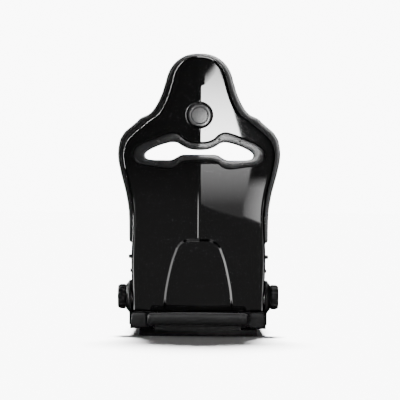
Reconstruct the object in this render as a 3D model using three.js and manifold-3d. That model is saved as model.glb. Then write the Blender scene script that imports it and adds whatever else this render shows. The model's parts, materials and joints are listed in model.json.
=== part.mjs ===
// Reclining racing seat: a composite back shell over a steel frame, padded front, and a padded base.
// Millimetres, +Z up. The seat faces -Y, and +X is the sitter's left.
// Everything is drawn about the recline hinge line (Y = 0), and the whole seat is centred at the end.
import * as THREE from "three";
import { mergeVertices } from "three/addons/utils/BufferGeometryUtils.js";
import Module from "manifold-3d";

const wasm = await Module();
wasm.setup();

// ---------- driving dimensions ----------
// Recline hinge
const hingeZ = 133;
const shaftRadius = 6;
const shaftBore = shaftRadius + 1.5;

// Back shell, seen from behind: half widths and the heights where they are reached
const shellBase = 85;
const shellTop = 946;
const hipHalf = 226;
const waistHalf = hipHalf - 3;
const waistZ = 415;
const shoulderHalf = 255;
const shoulderZ = 616;
const neckHalf = 140;
const neckZ = shellTop - 196;
const headHalf = 92;
const headZ = shellTop - 84;
const headTaper = 0.18; // the head narrows by this much per millimetre of height
const domePower = 2.4; // superellipse exponent of the rounded top

// Back shell, seen from the side
const shellWall = 3.5;
const rearAtBase = 50; // how far the rear face stands behind the hinge at the shell's base
const lean = 0.235; // slope of the lower back
const bendZ = 450; // above this height the back curves upright
const uprightZ = shellTop - 146; // and here it stands upright
const bendRate = lean / (2 * (uprightZ - bendZ));
const ridgeSlope = Math.tan(THREE.MathUtils.degToRad(4)); // each half falls away from the centre crease
const rimDepth = 50; // depth of the side flange from the rear face, above the hips
const rimDepthHip = 108; // and around the hinge
const hipFlangeZ = 190;
const rimSweepZ = 300;
const archHalf = 120;
const archTop = 333;
const archDepth = 5;

// Upholstered cover over the shell's front edge
const gap = 0.5; // clearance between pieces that rest on each other
const coverThickness = 31.5;
const coverBase = 180;
const coverTopBand = 13;
const hipCushionHalf = hipHalf - 23; // the padding stays inside the recliner plates at the hips

// Harness opening
const liningWall = 3.5;
const frontBezelBand = 16;
const rearBezelHeight = 4;
const frontBezelHeight = 4;

// Badge
const badgeRadius = 43;
const badgeZ = neckZ - 2;
const badgeDepth = 4;

// Backrest frame
const hoopRadius = 11;
const hoopOffset = 36; // tube centre, measured forward from the crease line
const hoopHipHalf = hipHalf - 33;
const crossTubeRadius = 8;
const weldGap = 1.5; // the cross tubes end this short of the hoop
const plateThickness = 4;
const plateGap = 1.5;

// Recliner, measured outward from the centre plane
const discRadius = 33;
const flangeHoleRadius = 37;
const armGap = 2;
const armRadius = 38;
const coverRadius = 57;
const coverReach = 14;
const coverRim = 3; // how far the cover's rim stands clear of the shell's side
const coverWall = 2.5;
const knobRadius = 43;
const knobWidth = 28;
const knobFlutes = 12;
const knobFluteDepth = 2.2;
const capRadius = 18;

// Side bolts: height, head radius and how far the head stands off the shell
const boltShank = 4;
const sideBolts = [
  { name: "upper", z: 272, head: 7, stand: 9.5 },
  { name: "lower", z: 224, head: 6.5, stand: 4 },
];

// Base frame
const railHeight = 25;
const railWidth = 30;
const railCentre = hipHalf - 51;
const railWall = 2.5;
const baseFront = -400; // front end of the rails
const barFront = 8;
const barDepth = 30;
const barHalf = railCentre + 25;
const mountHoleRadius = 4.1;
const mountHoles = [-340, -50]; // along the rails
const armFootThickness = 4;
const armFoot = { front: -45, rear: 30, inner: railCentre - 11 };
const armBolts = { across: railCentre + 1, front: -28, rear: 19, head: 7, headHeight: 5 };
const strapWidth = 44;
const strapThickness = 2.6;
const strapPlaces = [-330, -245, -160];

// Seat cushion
const cushionHalf = hipHalf - 78;
const cushionBottom = 29;
const cushionRear = -79;
const thighFront = -447;
const thighRear = -354;
const thighTop = 172;
const bolsterHalf = hipHalf + 6;
const bolsterRear = 51;
const cornerRear = 70; // rear end of the bolster's corner, beside the rear roll
const sweptRadius = 80; // everything in the base keeps this far from the hinge line
const sweptRear = 73; // and this far behind it
const rollRadius = 23;
const rollHalf = hipHalf - 54;
const rollPlace = { y: 75, z: 61 };

// ---------- derived positions ----------
const flangeOuter = hipHalf;
const flangeInner = hipHalf - shellWall;
const plateInner = hoopHipHalf + hoopRadius + plateGap;
const plateOuter = plateInner + plateThickness;
const armInner = flangeOuter + armGap;
const armOuter = armInner + plateThickness;
const coverInner = armOuter + gap;
const coverOuter = coverInner + coverReach;
const knobInner = coverOuter + gap;
const knobOuter = knobInner + knobWidth;
const coverFrontOffset = rimDepth + gap + coverThickness;
const padBack = coverFrontOffset + gap;

// ---------- materials ----------
const material = (color, roughness, metalness = 0) =>
  new THREE.MeshStandardMaterial({ color, roughness, metalness });
const glossShell = material(0x08080a, 0.06);
const matteTrim = material(0x3a3b3d, 0.55);
const screwBlack = material(0x1b1b1d, 0.4, 0.8);
const badgeSatin = material(0x6d6f72, 0.3, 0.4);
const leather = material(0x17171a, 0.5);
const suede = material(0x232326, 0.9);
const frameBlack = material(0x101012, 0.35, 0.5);
const brightSteel = material(0x9c9ea1, 0.35, 1);
const webbing = material(0x2a2a2c, 0.8);
const knobPlastic = material(0x222224, 0.45);

// ---------- shared shapes ----------
// Smooth curve through [position, value] pairs: cubic Hermite with finite-difference slopes.
function curveThrough(knots) {
  const slope = (i) => {
    const a = knots[Math.max(0, i - 1)];
    const b = knots[Math.min(knots.length - 1, i + 1)];
    return (b[1] - a[1]) / (b[0] - a[0]);
  };
  return (at) => {
    let i = knots.findIndex((k) => k[0] >= at);
    i = i < 0 ? knots.length - 1 : Math.max(1, i);
    const [p0, v0] = knots[i - 1];
    const [p1, v1] = knots[i];
    const span = p1 - p0;
    const t = THREE.MathUtils.clamp((at - p0) / span, 0, 1);
    const t2 = t * t;
    const t3 = t2 * t;
    return (
      v0 * (2 * t3 - 3 * t2 + 1) +
      slope(i - 1) * span * (t3 - 2 * t2 + t) +
      v1 * (3 * t2 - 2 * t3) +
      slope(i) * span * (t3 - t2)
    );
  };
}

const between = (a, b, share) => a + (b - a) * share;
const smooth = (at, from, to) => THREE.MathUtils.smoothstep(at, Math.min(from, to), Math.max(from, to));

// Side of the shell from the base to the head, as half width against height.
const shellSide = curveThrough([
  [shellBase, hipHalf - 1],
  [hingeZ + 20, hipHalf],
  [between(hingeZ, waistZ, 0.45), hipHalf + 2],
  [waistZ, waistHalf],
  [between(waistZ, shoulderZ, 0.35), between(waistHalf, shoulderHalf, 0.24)],
  [between(waistZ, shoulderZ, 0.75), between(waistHalf, shoulderHalf, 0.8)],
  [shoulderZ, shoulderHalf],
  [between(shoulderZ, neckZ, 0.29), between(neckHalf, shoulderHalf, 0.92)],
  [between(shoulderZ, neckZ, 0.49), between(neckHalf, shoulderHalf, 0.74)],
  [between(shoulderZ, neckZ, 0.68), between(neckHalf, shoulderHalf, 0.48)],
  [between(shoulderZ, neckZ, 0.86), between(neckHalf, shoulderHalf, 0.22)],
  [neckZ, neckHalf],
  [between(neckZ, headZ, 0.24), between(headHalf, neckHalf, 0.62)],
  [between(neckZ, headZ, 0.58), between(headHalf, neckHalf, 0.28)],
  [headZ, headHalf],
]);

// Half width of the outline at height z, grown outward by grow (topGrow at the crown).
function halfWidth(z, grow = 0, topGrow = grow) {
  if (z <= headZ) {
    const slope = (shellSide(z + 1) - shellSide(z - 1)) / 2;
    return shellSide(z) + grow * Math.hypot(1, slope);
  }
  const t = Math.min(1, (z - headZ) / (shellTop + topGrow - headZ));
  const half = headHalf + grow - headTaper * (z - headZ);
  return Math.max(10, half * Math.pow(1 - Math.pow(t, domePower), 1 / domePower));
}

// Heights from z0 up to the crown: even below the head, then closing up towards the top.
function crownRows(z0, top, below = 26, above = 7) {
  const rows = [];
  for (let i = 0; i < below; i++) rows.push(between(z0, headZ, i / below));
  for (let i = 0; i <= above; i++) {
    rows.push(headZ + (top - headZ) * Math.sin(((i / above) * Math.PI) / 2));
  }
  return rows;
}

const evenRows = (from, to, count) =>
  Array.from({ length: count + 1 }, (_, i) => between(from, to, i / count));

// Rear face of the shell: a straight lean, then a parabola, with a crease along the middle.
const spine = (z) => rearAtBase + lean * (z - shellBase) - bendRate * Math.max(0, z - bendZ) ** 2;
const rearFace = (x, z) => spine(z) - ridgeSlope * Math.abs(x);
const rimReach = (z) => between(rimDepthHip, rimDepth, smooth(z, hipFlangeZ, rimSweepZ));
const rimFront = (z) => spine(z) - rimReach(z);

// Closed solid between two surfaces over a strip of rows.
// upright: across is X, rows run up Z, and height is measured forward (-Y).
// Otherwise across is X, rows run along Y, and height is Z.
function sheetSolid({ rows, left, right, low, high, columns = 8, upright = true }) {
  const place = upright ? (a, b, h) => [a, -h, b] : (a, b, h) => [a, b, h];
  const position = [];
  const index = [];
  const stride = columns + 1;
  const layer = stride * rows.length;
  for (const surface of [low, high]) {
    for (const b of rows) {
      for (let i = 0; i <= columns; i++) {
        const a = between(left(b), right(b), i / columns);
        position.push(...place(a, b, surface(a, b)));
      }
    }
  }
  const quad = (p, q, r, s) => index.push(p, q, r, p, r, s);
  const at = (i, j, top) => (top ? layer : 0) + j * stride + i;
  const last = rows.length - 1;
  for (let j = 0; j < last; j++) {
    for (let i = 0; i < columns; i++) {
      quad(at(i, j, 1), at(i + 1, j, 1), at(i + 1, j + 1, 1), at(i, j + 1, 1));
      quad(at(i, j, 0), at(i, j + 1, 0), at(i + 1, j + 1, 0), at(i + 1, j, 0));
    }
    quad(at(0, j, 0), at(0, j, 1), at(0, j + 1, 1), at(0, j + 1, 0));
    quad(at(columns, j, 0), at(columns, j + 1, 0), at(columns, j + 1, 1), at(columns, j, 1));
  }
  for (let i = 0; i < columns; i++) {
    quad(at(i, 0, 0), at(i + 1, 0, 0), at(i + 1, 0, 1), at(i, 0, 1));
    quad(at(i, last, 0), at(i, last, 1), at(i + 1, last, 1), at(i + 1, last, 0));
  }
  const geometry = new THREE.BufferGeometry();
  geometry.setAttribute("position", new THREE.Float32BufferAttribute(position, 3));
  geometry.setIndex(index);
  return geometry;
}

// Extrusion of a (y, z) outline along X, and of an (x, z) outline along Y.
function extrudeX(shape, x0, x1, options = {}) {
  const bevel = options.bevelEnabled ? options.bevelThickness : 0;
  const geometry = new THREE.ExtrudeGeometry(shape, {
    depth: x1 - x0 - 2 * bevel,
    bevelEnabled: false,
    ...options,
  });
  const turn = new THREE.Matrix4().makeBasis(
    new THREE.Vector3(0, 1, 0),
    new THREE.Vector3(0, 0, 1),
    new THREE.Vector3(1, 0, 0),
  );
  return geometry.applyMatrix4(turn).translate(x0 + bevel, 0, 0);
}

function extrudeY(shape, y0, y1) {
  const geometry = new THREE.ExtrudeGeometry(shape, { depth: y1 - y0, bevelEnabled: false });
  return geometry.rotateX(Math.PI / 2).translate(0, y1, 0);
}

// Lathed solid from [radius, along] points, along +Y, or along +X when sideways.
function lathe(profile, segments = 24, sideways = false) {
  const points = profile.map(([r, a]) => new THREE.Vector2(r, a));
  const geometry = new THREE.LatheGeometry(points, segments);
  return sideways ? geometry.rotateZ(-Math.PI / 2) : geometry;
}

const rod = (radius, from, to, segments = 24, sideways = true) =>
  lathe(
    [
      [0, from],
      [radius, from],
      [radius, to],
      [0, to],
    ],
    segments,
    sideways,
  );

const ringRod = (outer, inner, from, to, segments = 24) =>
  lathe(
    [
      [inner, from],
      [outer, from],
      [outer, to],
      [inner, to],
      [inner, from],
    ],
    segments,
    true,
  );

function box(x0, x1, y0, y1, z0, z1) {
  const geometry = new THREE.BoxGeometry(x1 - x0, y1 - y0, z1 - z0);
  return geometry.translate((x0 + x1) / 2, (y0 + y1) / 2, (z0 + z1) / 2);
}

// Geometry to manifold solid and back.
function solid(geometry) {
  const bare = geometry.clone();
  bare.deleteAttribute("normal");
  bare.deleteAttribute("uv");
  const merged = mergeVertices(bare, 1e-3);
  return new wasm.Manifold(
    new wasm.Mesh({
      numProp: 3,
      vertProperties: new Float32Array(merged.attributes.position.array),
      triVerts: new Uint32Array(merged.index.array),
    }),
  );
}

function geometryOf(made) {
  const mesh = made.getMesh();
  const geometry = new THREE.BufferGeometry();
  geometry.setAttribute("position", new THREE.Float32BufferAttribute(mesh.vertProperties, 3));
  geometry.setIndex(new THREE.BufferAttribute(mesh.triVerts, 1));
  return geometry;
}

const cut = (body, ...tools) => tools.reduce((left, tool) => left.subtract(tool), body);

// ---------- assembly helpers ----------
const seat = new THREE.Group();

function add(name, made, look) {
  const geometry = made.isBufferGeometry ? made : geometryOf(made);
  const mesh = new THREE.Mesh(geometry, look);
  mesh.name = name;
  seat.add(mesh);
  return mesh;
}

// The piece is drawn on the +X side; its twin is its mirror image.
function addPair(name, made, look) {
  const geometry = made.isBufferGeometry ? made : geometryOf(made);
  add(`${name}_left`, geometry, look);
  add(`${name}_right`, geometry, look).scale.x = -1;
}

// ---------- harness opening outlines ----------
// Right halves, from the top centre round to the bottom centre: [across, height].
const openingHalf = [
  [0, 633],
  [35, 637],
  [56, 646],
  [74, 657],
  [90, 659],
  [115, 654],
  [146, 643],
  [174, 628],
  [182, 618],
  [179, 606],
  [165, 600],
  [121, 598],
  [92, 599],
  [77, 606],
  [60, 615],
  [30, 616.5],
  [0, 616.5],
];
const bezelHalf = [
  [0, 655],
  [28, 657],
  [48, 665],
  [69, 682],
  [87, 688],
  [118, 681],
  [150, 668],
  [188, 653],
  [213, 636],
  [219, 615],
  [210, 595],
  [190, 584],
  [152, 577],
  [100, 571],
  [80, 577],
  [60, 592],
  [32, 597.5],
  [0, 598],
];

// Closed smooth outline from its right half, mirrored, then pushed out along its normals.
function closedOutline(half, samples, grow = 0) {
  const right = half.map(([x, z]) => new THREE.Vector3(x, z, 0));
  const mirrored = half.slice(1, -1).reverse();
  const points = [...right, ...mirrored.map(([x, z]) => new THREE.Vector3(-x, z, 0))];
  const curve = new THREE.CatmullRomCurve3(points, true, "centripetal");
  const outline = curve.getPoints(samples).slice(0, -1);
  return outline.map((p, i) => {
    const before = outline[(i + outline.length - 1) % outline.length];
    const after = outline[(i + 1) % outline.length];
    const along = new THREE.Vector2(after.x - before.x, after.y - before.y).normalize();
    // The outline runs clockwise, so its outward normal is the tangent turned left.
    return new THREE.Vector2(p.x - along.y * grow, p.y + along.x * grow);
  });
}

const outlineSamples = 56;
const prism = (half, grow, y0, y1) =>
  solid(extrudeY(new THREE.Shape(closedOutline(half, outlineSamples, grow)), y0, y1));

// Layer that follows the rear face between two offsets, measured forward from it.
const openingBand = { low: 560, high: 700 };
const layer = (near, far) =>
  solid(
    sheetSolid({
      rows: evenRows(openingBand.low, openingBand.high, 8),
      left: () => -shoulderHalf,
      right: () => shoulderHalf,
      low: (x, z) => near - rearFace(x, z),
      high: (x, z) => far - rearFace(x, z),
      columns: 2,
    }),
  );
const openingFront = -60;
const openingBack = 260;

// ---------- backrest ----------
function makeShell() {
  const skin = (inset, forward) => ({
    rows: crownRows(shellBase + inset, shellTop - inset),
    left: (z) => -halfWidth(z, -inset),
    right: (z) => halfWidth(z, -inset),
    low: (x, z) => inset - rearFace(x, z),
    high: (x, z) => forward - rimFront(z),
    columns: 4,
  });
  const archSide = curveThrough([
    [shellBase - 10, archHalf],
    [between(shellBase, archTop, 0.25), archHalf - 5],
    [between(shellBase, archTop, 0.48), archHalf - 15],
    [between(shellBase, archTop, 0.7), archHalf - 28],
    [between(shellBase, archTop, 0.86), archHalf - 42],
    [between(shellBase, archTop, 0.96), archHalf - 58],
    [archTop, archHalf - 78],
  ]);
  const arch = (grow) =>
    solid(
      sheetSolid({
        rows: evenRows(shellBase - 10, archTop + grow, 12),
        left: (z) => -archSide(Math.min(z, archTop)) - grow,
        right: (z) => archSide(Math.min(z, archTop)) + grow,
        low: (x, z) => -60 - rearFace(x, z),
        high: (x, z) => archDepth + grow - rearFace(x, z),
        columns: 2,
      }),
    );
  const badgePocket = (grow) =>
    solid(
      rod(badgeRadius + gap + grow, spine(badgeZ) - badgeDepth - grow, 300, 32, false).translate(
        0,
        0,
        badgeZ,
      ),
    );
  const outer = cut(solid(sheetSolid(skin(0, 0))), arch(0), badgePocket(0));
  const inner = cut(solid(sheetSolid(skin(shellWall, 30))), arch(shellWall), badgePocket(shellWall));
  const holes = [
    prism(openingHalf, liningWall + 1, openingFront, openingBack),
    solid(rod(flangeHoleRadius, -300, 300).translate(0, 0, hingeZ)),
    ...sideBolts.map((b) => solid(rod(boltShank + gap, -300, 300, 12).translate(0, boltY(b.z), b.z))),
    ...bezelScrews.map(([x, z]) =>
      solid(rod(screwShank + gap, rearFace(x, z) - 20, 300, 8, false).translate(x, 0, z)),
    ),
  ];
  return cut(cut(outer, inner), ...holes);
}

const screwShank = 1.8;
const screwHead = 3.9;
const screwHeadHeight = 1.6;
const screwReach = 9;
const screwLift = 0.9; // the flat head clears the sloping bezel all round
const bezelScrews = [
  [67, 668],
  [136, 661],
  [72, 592],
  [144, 586],
].flatMap(([x, z]) => [
  [x, z],
  [-x, z],
]);
const boltY = (z) => rearFace(hipHalf, z) - 26;

function makeRearBezel() {
  const ring = cut(
    prism(bezelHalf, 0, openingFront, openingBack),
    prism(openingHalf, 0, openingFront - 5, openingBack + 5),
    ...bezelScrews.map(([x, z]) => solid(rod(screwShank + gap, -60, 300, 8, false).translate(x, 0, z))),
  );
  return ring.intersect(layer(-rearBezelHeight - gap, -gap));
}

function makeFrontBezel() {
  const hole = prism(openingHalf, 0, openingFront - 5, openingBack + 5);
  const tunnel = prism(openingHalf, liningWall, openingFront, openingBack).intersect(
    layer(0, padBack + frontBezelHeight),
  );
  const ring = prism(openingHalf, frontBezelBand, openingFront, openingBack).intersect(
    layer(padBack, padBack + frontBezelHeight),
  );
  return cut(tunnel.add(ring), hole);
}

function makeScrew(x, z) {
  const seatY = rearFace(x, z) + rearBezelHeight + gap;
  return lathe(
    [
      [0, -screwReach],
      [screwShank, -screwReach],
      [screwShank, screwLift],
      [screwHead, screwLift],
      [screwHead * 0.8, screwLift + screwHeadHeight],
      [0, screwLift + screwHeadHeight],
    ],
    8,
  ).translate(x, seatY, z);
}

function makeBadge() {
  const floor = spine(badgeZ) - badgeDepth + gap;
  return lathe(
    [
      [0, 0],
      [badgeRadius, 0],
      [badgeRadius, badgeDepth - 1.5],
      [badgeRadius - 3, badgeDepth],
      [badgeRadius - 10, badgeDepth],
      [badgeRadius - 12, badgeDepth - 1.2],
      [0, badgeDepth],
    ],
    32,
  ).translate(0, floor, badgeZ);
}

// How far the upholstered cover shows outside the shell, against height.
const coverBand = curveThrough([
  [coverBase, -shellWall],
  [rimSweepZ + 5, 9],
  [rimSweepZ + 45, 11.5],
  [between(waistZ, shoulderZ, 0.1), 14.5],
  [shoulderZ, 19],
  [between(shoulderZ, neckZ, 0.7), 25],
  [headZ, 22],
  [shellTop, 22],
]);

// Half width of the padding: narrow between the recliner plates, then out over the shell's edge.
function coverHalf(z) {
  const free = halfWidth(z, coverBand(z), coverTopBand);
  return between(hipCushionHalf, free, smooth(z, rimSweepZ + 4, rimSweepZ + 24));
}

function makeCover() {
  const body = solid(
    sheetSolid({
      rows: [...crownRows(coverBase, shellTop + coverTopBand, 30, 7), rimSweepZ + 4].sort((a, b) => a - b),
      left: (z) => -coverHalf(z),
      right: coverHalf,
      low: (x, z) => rimDepth + gap - spine(z),
      high: (x, z) => coverFrontOffset - spine(z),
      columns: 4,
    }),
  );
  return cut(body, prism(openingHalf, liningWall + 1, openingFront, openingBack));
}

// A pad on the front of the cover, crowned to a stated height with softened edges.
function backPad({ from, to, inner, outer, height, edge = 14, rows = 10, columns = 6 }) {
  return sheetSolid({
    rows: evenRows(from, to, rows),
    left: inner,
    right: outer,
    low: (x, z) => padBack - spine(z),
    high: (x, z) => {
      const s = (2 * (x - inner(z))) / (outer(z) - inner(z)) - 1;
      const t = (2 * (z - from)) / (to - from) - 1;
      const crown = (1 - Math.abs(s) ** 3) * (1 - Math.abs(t) ** 5);
      return padBack + edge + (height(z) - edge) * crown - spine(z);
    },
    columns,
  });
}

const padGap = 4; // seam between neighbouring pads
const padBase = 102; // the pads hang below the cover, in front of the cross shaft
const centreHalf = 128;
const lumbarTop = 398;
const upperPadTop = 568;
const bolsterTop = 520;
const wingTop = 712;
const wingInner = openingHalf[8][0] + frontBezelBand + 6;

function makeBackPads() {
  const centre = (from, to, height) =>
    backPad({
      from,
      to,
      inner: () => -centreHalf,
      outer: () => centreHalf,
      height: () => height,
    });
  add("lumbar_pad", centre(padBase, lumbarTop, 38), suede);
  add("upper_back_pad", centre(lumbarTop + padGap, upperPadTop, 30), suede);

  const headPadHalf = (z) => Math.min(100, coverHalf(z) - 16);
  const headPad = backPad({
    from: wingTop - 6,
    to: shellTop - 12,
    inner: (z) => -headPadHalf(z),
    outer: headPadHalf,
    height: () => 42,
  });
  add("head_pad", headPad, suede);

  const bolsterHeight = curveThrough([
    [padBase, 40],
    [coverBase, 52],
    [between(coverBase, bolsterTop, 0.2), 76],
    [between(coverBase, bolsterTop, 0.45), 92],
    [between(coverBase, bolsterTop, 0.8), 70],
    [bolsterTop, 50],
  ]);
  // above the side plates it reaches past the shell's rim
  const insidePlates = hipHalf - 26;
  const wrap = curveThrough([
    [padBase, insidePlates],
    [rimSweepZ - 55, insidePlates],
    [rimSweepZ - 30, hipHalf + 7],
    [rimSweepZ + 45, hipHalf + 7],
    [rimSweepZ + 90, insidePlates],
  ]);
  const bolster = backPad({
    from: padBase,
    to: bolsterTop,
    inner: () => centreHalf + padGap,
    outer: (z) => Math.max(coverHalf(z) - 2, wrap(z)),
    height: bolsterHeight,
    rows: 20,
  });
  addPair("backrest_bolster", bolster, leather);

  const wing = backPad({
    from: bolsterTop + padGap,
    to: wingTop,
    inner: curveThrough([
      [bolsterTop, centreHalf + padGap],
      [openingBand.low, wingInner - 6],
      [shoulderZ, wingInner],
      [between(shoulderZ, wingTop, 0.6), wingInner - 8],
      [wingTop, 150],
    ]),
    outer: (z) => coverHalf(z) - 2,
    height: curveThrough([
      [bolsterTop, 46],
      [shoulderZ, 78],
      [wingTop, 40],
    ]),
    rows: 12,
  });
  addPair("shoulder_wing", wing, leather);
}

// ---------- backrest frame ----------
const tube = (points, radius, steps, sides = 10) => {
  const path = new THREE.CatmullRomCurve3(points, false, "centripetal");
  const ring = new THREE.Shape();
  for (let i = 0; i < sides; i++) {
    const turn = (i / sides) * Math.PI * 2;
    const p = [radius * Math.cos(turn), radius * Math.sin(turn)];
    i ? ring.lineTo(...p) : ring.moveTo(...p);
  }
  return new THREE.ExtrudeGeometry(ring, { steps, bevelEnabled: false, extrudePath: path });
};

// The hoop follows the outline inside the shell, a hand's breadth in from it at the neck.
const hoopHalf = (z) => Math.min(halfWidth(z, -hoopRadius - shellWall - 14), hoopLimit(z));
const hoopLimit = curveThrough([
  [coverBase, hoopHipHalf],
  [waistZ, hoopHipHalf + 4],
  [shoulderZ - 20, shoulderHalf - 34],
  [shoulderZ + 40, shoulderHalf - 39],
  [neckZ, neckHalf - 10],
  [headZ, headHalf - 22],
]);
const hoopFoot = 176;
const hoopTop = shellTop - 40;
const hoopPoint = (x, z) => new THREE.Vector3(x, spine(z) - hoopOffset, z);

function makeHoop() {
  const rise = [
    hoopFoot,
    300,
    ...evenRows(waistZ, shoulderZ, 3),
    ...evenRows(shoulderZ, neckZ, 4).slice(1),
    ...evenRows(neckZ, headZ + 13, 3).slice(1),
  ];
  const side = rise.map((z) => hoopPoint(hoopHalf(z), z));
  const crown = [hoopPoint(34, hoopTop - 5), hoopPoint(0, hoopTop)];
  const back = [...side, crown[0]].reverse().map((p) => new THREE.Vector3(-p.x, p.y, p.z));
  return tube([...side, ...crown, ...back], hoopRadius, 72);
}

const crossTube = (z) => {
  const half = hoopHalf(z - crossTubeRadius) - hoopRadius - weldGap;
  return rod(crossTubeRadius, -half, half, 12).translate(0, spine(z) - hoopOffset, z);
};

// Plate round two bosses, as a (y, z) outline made of two arcs joined by their outer tangents.
function linkOutline(y0, z0, r0, y1, z1, r1) {
  const heading = Math.atan2(z1 - z0, y1 - y0);
  const spread = Math.acos((r0 - r1) / Math.hypot(y1 - y0, z1 - z0));
  const shape = new THREE.Shape();
  shape.absarc(y0, z0, r0, heading + spread, heading - spread + 2 * Math.PI, false);
  shape.absarc(y1, z1, r1, heading - spread, heading + spread, false);
  return shape;
}

function roundHole(y, z, radius) {
  const hole = new THREE.Path();
  hole.absarc(y, z, radius, 0, Math.PI * 2, true);
  return hole;
}

function makeReclinerPlate() {
  const top = sideBolts[0].z + 12;
  const shape = linkOutline(0, hingeZ, armRadius - 2, boltY(top), top, 17);
  shape.holes.push(roundHole(0, hingeZ, shaftBore));
  shape.holes.push(...sideBolts.map((b) => roundHole(boltY(b.z), b.z, boltShank + gap)));
  return extrudeX(shape, plateInner, plateOuter, { curveSegments: 10 });
}

function makeSideBolt({ z, head, stand }) {
  const face = halfWidth(z) + gap;
  return lathe(
    [
      [0, plateInner - 1],
      [boltShank, plateInner - 1],
      [boltShank, face],
      [head, face],
      [head, face + stand * 0.75],
      [head - 1.5, face + stand],
      [0, face + stand],
    ],
    16,
    true,
  ).translate(0, boltY(z), z);
}

// ---------- recliner ----------
const discJoint = between(plateOuter, armInner, 0.55);

function makeArm() {
  const shape = new THREE.Shape();
  const dip = THREE.MathUtils.degToRad(15);
  const footZ = railHeight + gap;
  shape.moveTo(armFoot.front, footZ);
  shape.lineTo(armFoot.rear, footZ);
  shape.absarc(0, hingeZ, armRadius, -dip, Math.PI + dip, false);
  shape.lineTo(armFoot.front, footZ);
  shape.holes.push(roundHole(0, hingeZ, shaftBore));
  const plate = solid(extrudeX(shape, armInner, armOuter, { curveSegments: 10 }));
  const foot = solid(
    box(armFoot.inner, armInner + 1, armFoot.front, armFoot.rear, footZ, footZ + armFootThickness),
  );
  return cut(plate.add(foot), ...armBoltTools(boltShank + gap, 0, 60));
}

const armBoltTools = (radius, from, to) =>
  [armBolts.front, armBolts.rear].map((y) =>
    solid(rod(radius, from, to, 12, false).rotateX(Math.PI / 2).translate(armBolts.across, y, 0)),
  );

function makeArmBolt(y) {
  const seatZ = railHeight + armFootThickness + 2 * gap;
  const head = solid(rod(armBolts.head, seatZ, seatZ + armBolts.headHeight, 6, false));
  const shank = solid(rod(boltShank, railHeight - 8, seatZ + 1, 12, false));
  return geometryOf(head.add(shank)).rotateX(Math.PI / 2).translate(armBolts.across, y, 0);
}

// Its rim closes the gap to the shell and is cut away for the arm.
function makeReclinerCover() {
  const rimInner = flangeOuter + coverRim;
  const armRoom = box(0, coverInner, armFoot.front - 8, armFoot.rear + 8, 0, hingeZ);
  const cone = solid(
    lathe(
      [
        [shaftBore, coverOuter],
        [shaftBore, coverOuter - coverWall],
        [knobRadius - 3, coverOuter - coverWall],
        [coverRadius - coverWall, coverInner],
        [coverRadius - coverWall, rimInner],
        [coverRadius, rimInner],
        [coverRadius, coverInner],
        [knobRadius + 1, coverOuter],
        [shaftBore, coverOuter],
      ],
      36,
      true,
    ).translate(0, 0, hingeZ),
  );
  const tail = solid(box(coverInner, coverInner + 3, armFoot.front + 8, armFoot.rear - 4, 38, hingeZ - 30));
  const inside = solid(rod(coverRadius - coverWall, 0, 400, 36).translate(0, 0, hingeZ));
  return cut(cone, solid(armRoom)).add(cut(tail, inside));
}

function makeKnob() {
  const points = 72;
  const outline = Array.from({ length: points }, (_, i) => {
    const turn = (i / points) * Math.PI * 2;
    const flute = Math.max(0, Math.cos(turn * knobFlutes)) ** 2;
    const radius = knobRadius - knobFluteDepth * flute;
    return new THREE.Vector2(radius * Math.cos(turn), radius * Math.sin(turn));
  });
  const body = solid(
    extrudeX(new THREE.Shape(outline), knobInner, knobOuter, {
      bevelEnabled: true,
      bevelThickness: 4,
      bevelSize: 4,
      bevelOffset: -4,
      bevelSegments: 2,
    }),
  );
  const bore = solid(rod(shaftRadius + gap, 0, knobOuter - 8));
  const capSeat = solid(rod(capRadius + gap, knobOuter - 3, knobOuter + 5, 24));
  return geometryOf(cut(body, bore, capSeat)).translate(0, 0, hingeZ);
}

const makeKnobCap = () =>
  lathe(
    [
      [0, knobOuter - 3 + gap],
      [capRadius, knobOuter - 3 + gap],
      [capRadius, knobOuter - 1],
      [capRadius - 3, knobOuter],
      [0, knobOuter],
    ],
    24,
    true,
  ).translate(0, 0, hingeZ);

// ---------- base ----------
function makeRail() {
  const outer = box(
    railCentre - railWidth / 2,
    railCentre + railWidth / 2,
    baseFront,
    barFront - gap,
    0,
    railHeight,
  );
  const inner = box(
    railCentre - railWidth / 2 + railWall,
    railCentre + railWidth / 2 - railWall,
    baseFront - 5,
    barFront + 5,
    railWall,
    railHeight - railWall,
  );
  const mounting = mountHoles.map((y) =>
    solid(rod(mountHoleRadius, -5, railWall + 2, 12, false).rotateX(Math.PI / 2).translate(railCentre, y, 0)),
  );
  return cut(solid(outer), solid(inner), ...mounting, ...armBoltTools(boltShank + gap, railHeight / 2, 60));
}

function makeRearBar() {
  const outer = box(-barHalf, barHalf, barFront, barFront + barDepth, 1, railHeight);
  const mirrored = solid(
    geometryOf(armBoltTools(boltShank + gap, railHeight - 9, 60)[1]).translate(-2 * armBolts.across, 0, 0),
  );
  return cut(solid(outer), armBoltTools(boltShank + gap, railHeight - 9, 60)[1], mirrored);
}

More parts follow.
